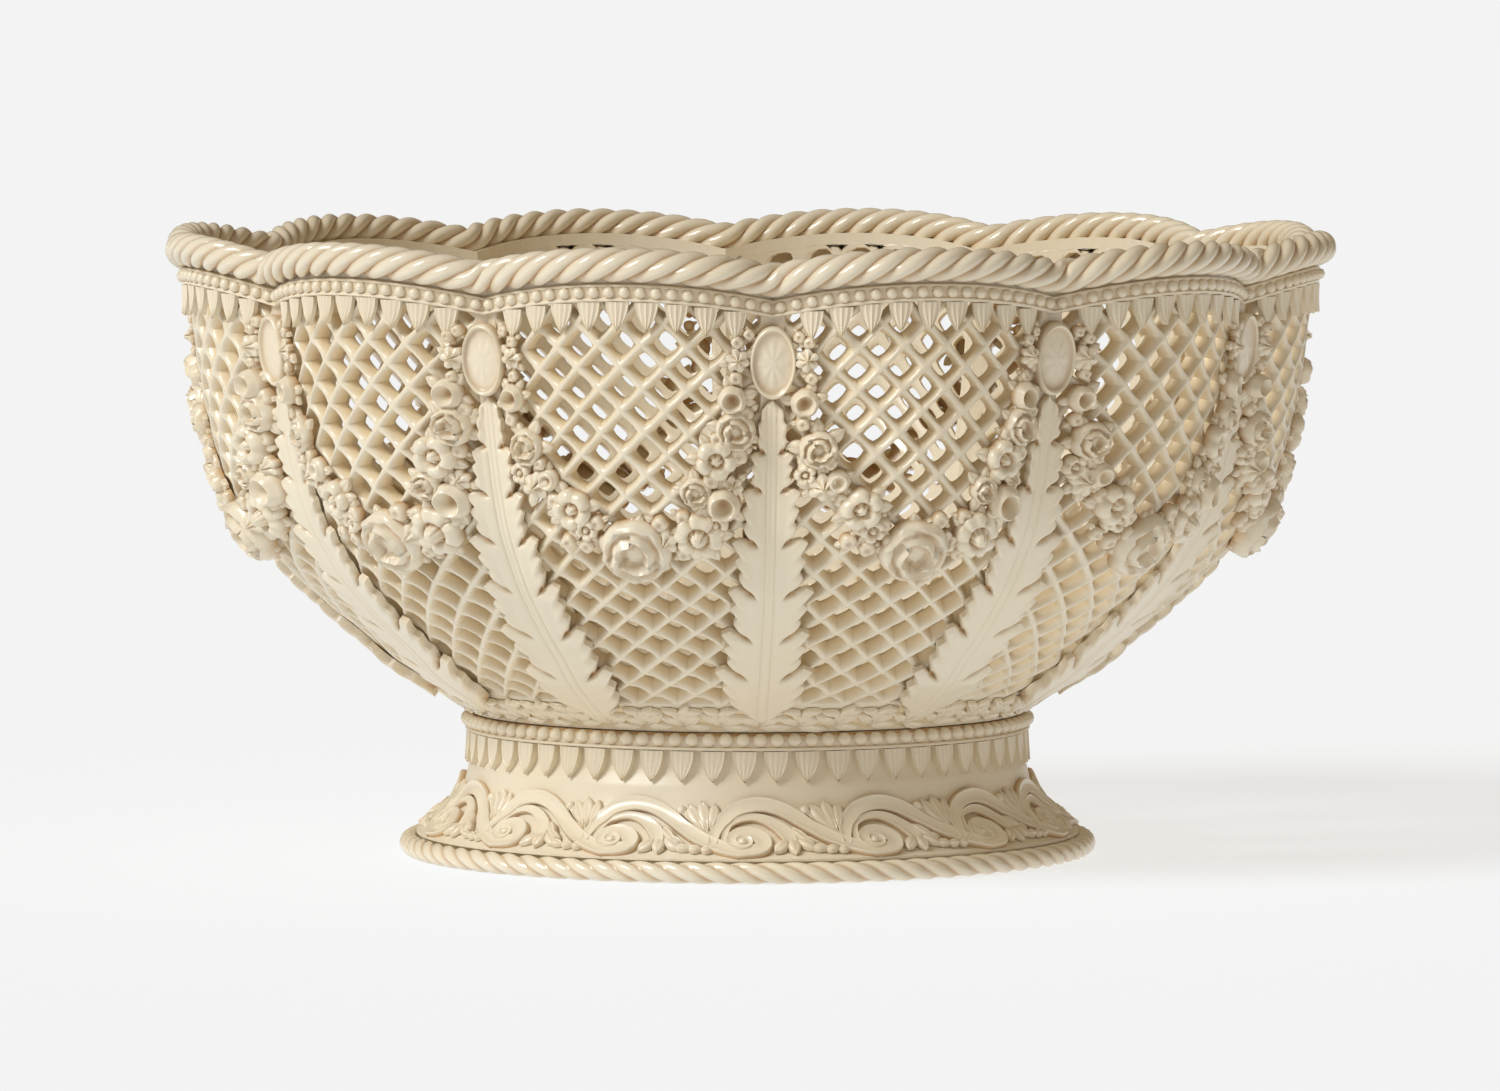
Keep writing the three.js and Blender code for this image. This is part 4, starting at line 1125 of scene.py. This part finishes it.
def make_foot_tongues():
    """Short round tongues under the collar, thickest at their tips."""
    clay = Clay()
    middle = (np.arange(FOOT_TONGUES)[:, None, None] + 0.5) * TURN / FOOT_TONGUES
    s, t, share, ribs, edges = tongue_grid(FOOT_TONGUE_FULLNESS)
    back = FOOT_NECK_RADIUS + SEAT_GAP
    lift = 1.8 - 0.32 * s**2 + 0.14 * ribs + edges + 0.45 * t

    def place(angle, height, lift):
        return round_point(angle, back + lift, height)

    angle = middle + s * FOOT_TONGUE_HALF_WIDTH * share / back
    height = FOOT_TONGUE_TOP - FOOT_TONGUE_LENGTH * t
    # Brown between the ribs and at the tongue's root: pooled glaze and painted shade.
    add_slab(clay, place, angle, height, lift, -SEAT_GAP, 0.2 - 0.3 * ribs - 0.2 * t)
    clay.piece("foot_tongues", "glazed_relief", ["foot_tongue_ring"])


# Scroll frieze
WAVES = 15
WAVE_LENGTH = 33.5
EYE_LENGTH = 3.6
EYE_TURN = math.radians(-3.4)
# The crest of one wave, in mm right of and up from its eye, from the left of the eye to under the next.
CREST = (
    (-7.4, -0.8), (-7.0, 3.2), (-5.5, 7.2), (-2.0, 10.8), (3.6, 12.3), (9.1, 11.4), (13.8, 8.8), (18, 5.2),
    (22.6, 1.6), (27.9, -1.6), (32.5, -3.6),
)
RIBBON_HALF_WIDTH = 2.15
RIBBON_HEIGHT = 1.4
# Across a ribbon: place, share of its height, and how brown it is, as pooled glaze and painted shade.
RIBBON_PLACES = np.array([-1, -0.97, -0.86, -0.7, -0.5, 0, 0.5, 0.7, 0.86, 0.97, 1])
RIBBON_PROFILE = np.array([0.15, 0.75, 1, 0.95, 0.82, 0.8, 0.82, 0.95, 1, 0.75, 0.15])
RIBBON_POOLS_AND_SHADE = (0.9, 0.4, 0, 0.05, 0.2, 0.1, 0.2, 0.05, 0, 0.4, 0.9)
CREST_STEPS = 60
SPIRAL_STEPS = 90
SPIRAL_RADIUS = 5.85
SPIRAL_TURNS = 2.2
SPIRAL_DECAY = 0.165
# The leaf under the crest: its middle line and half widths.
UNDER_LEAF = ((-4.9, 0.4), (-3.5, 6.0), (0.4, 8.4), (4.6, 8.4), (8.6, 6.2), (11.3, 2.8), (12.1, -0.4))
UNDER_LEAF_HALF_WIDTHS = (0.8, 0.9, 0.9, 1.2, 1.7, 2.1, 1.7)
# Small leaves beside the leaf's end and in the notch left of the eye: place, heading in degrees, length,
# width, and where along it each is widest, as a power.
SPRIG = (
    (11.2, 1, -125, 5.8, 3.3, 1), (12.5, 1.2, -86, 5.4, 3.3, 1), (13.6, 1.6, -43, 6.4, 3.3, 1),
    (12.4, 5.2, -50, 8, 2.6, 0.8), (14.6, 1.6, -26, 4.8, 2.2, 0.8), (16.8, -1.6, -14, 4.2, 2.4, 0.8),
    (20.2, -2.5, 0, 3.6, 2.4, 0.8), (23.4, -2.8, 0, 3, 2.2, 0.8), (-8.9, 2.4, 122, 11.8, 3.9, 1.8),
    (-8.7, 2.5, 104, 11.2, 3.9, 1.8), (-8.3, 2.6, 86, 10, 3.4, 1.8),
)
STALK = ((-8.8, 2.6), (-12.6, 6.8), (-16.8, 10.6))
UNDER_LEAF_HEIGHT = 1.1
STALK_HALF_WIDTH = 0.8
STALK_HEIGHT = 1.0
BERRY_RADIUS = 1.4
BERRY_LIFT = 0.6
EYE_RADIUS = 1.2
EYE_LIFT = 1.1


def frieze_place(wave):
    """Places on one wave of the frieze: right of its eye, up along the foot's slope, and lift."""
    scale = TURN / WAVES / WAVE_LENGTH
    start = EYE_TURN + wave * TURN / WAVES
    return lambda u, v, lift: foot_point(start + u * scale, EYE_LENGTH + v, lift)


def add_ribbon(clay, place, path, half, height):
    """A moulded ribbon along a path of (u, v): nearly flat, with soft raised edges. Half width and height
    are one number, or one to each point of the path."""
    way = np.gradient(path, axis=0)
    way /= np.linalg.norm(way, axis=1)[:, None]
    # Rows grow along the path and columns to its left, so the slab faces outwards.
    across = np.reshape(half, (-1, 1)) * RIBBON_PLACES
    u, v = path[:, :1] - way[:, 1:] * across, path[:, 1:] + way[:, :1] * across
    high = SEAT_GAP + np.reshape(height, (-1, 1)) * RIBBON_PROFILE
    add_slab(clay, place, u, v, high, 0.1, RIBBON_POOLS_AND_SHADE)


def smooth_path(knots, count):
    """Points at equal lengths along a smooth curve through the knots, and their places as shares."""
    curve = Outline(knots)
    share = np.linspace(0, 1, count)
    return np.stack(curve.at(share * curve.whole)[:2], -1), share


def wave_ribbon():
    """The crest, then the spiral round the next eye. Its radius shrinks as exp(-decay angle), and the
    ribbon narrows with it and rises towards the eye."""
    crest, share = smooth_path(CREST, CREST_STEPS)
    start = -TURN / 4
    around = np.linspace(start + 0.1, start + SPIRAL_TURNS * TURN, SPIRAL_STEPS)
    radius = SPIRAL_RADIUS * np.exp(-SPIRAL_DECAY * (around - start))
    flatter = 0.92 * np.where(around < 0, 1 - 0.36 * np.cos(around - start) ** 2, 1)
    wider = 1 + 0.15 * np.clip(np.cos(around), 0, 1) ** 2 * (around < TURN / 4)
    spiral = np.stack([WAVE_LENGTH + radius * wider * np.cos(around), radius * flatter * np.sin(around)], -1)
    starting = RIBBON_HALF_WIDTH * np.clip(0.55 + 3 * share, 0, 1)
    narrowing = np.minimum(RIBBON_HALF_WIDTH + 0.15 * (around > 0), 0.46 * radius + 0.32)
    rising = np.append(np.zeros(CREST_STEPS), np.linspace(0, 0.5, SPIRAL_STEPS))
    return np.concatenate([crest, spiral]), np.append(starting, narrowing), RIBBON_HEIGHT + rising


def make_frieze():
    """The same wave many times: its ribbon, the leaf under the crest, a berry on a stalk, an eye and small
    leaves."""
    clay = Clay()
    under_leaf, share = smooth_path(UNDER_LEAF, 40)
    leaf_half = np.interp(share, np.linspace(0, 1, len(UNDER_LEAF_HALF_WIDTHS)), UNDER_LEAF_HALF_WIDTHS)
    stalk, _ = smooth_path(STALK, 16)
    ribbon = wave_ribbon()
    for wave in range(WAVES):
        place = frieze_place(wave)
        add_ribbon(clay, place, *ribbon)
        add_ribbon(clay, place, under_leaf, leaf_half, UNDER_LEAF_HEIGHT)
        add_ribbon(clay, place, stalk, STALK_HALF_WIDTH, STALK_HEIGHT)
        add_balls(clay, place(*np.array([*STALK[-1], BERRY_LIFT])[:, None]), BERRY_RADIUS)
        add_balls(clay, place(*np.array([0, 0, EYE_LIFT])[:, None]), EYE_RADIUS, sides=12, rings=5)
        for u, v, heading, length, width, widest in SPRIG:
            add_leaflet(clay, place, u, v, math.radians(heading), length, width, widest)
    clay.piece("running_scroll", "glazed_relief", ["foot_scroll_frieze"], sharp=60)


make_wall()
make_rim_rope()
make_bead_band()
make_tongue_band()
make_medallions()
make_leaves()
make_garlands()
make_base_dish()
make_foot()
make_foot_bead_ring()
make_foot_tongues()
make_frieze()
make_foot_rope()
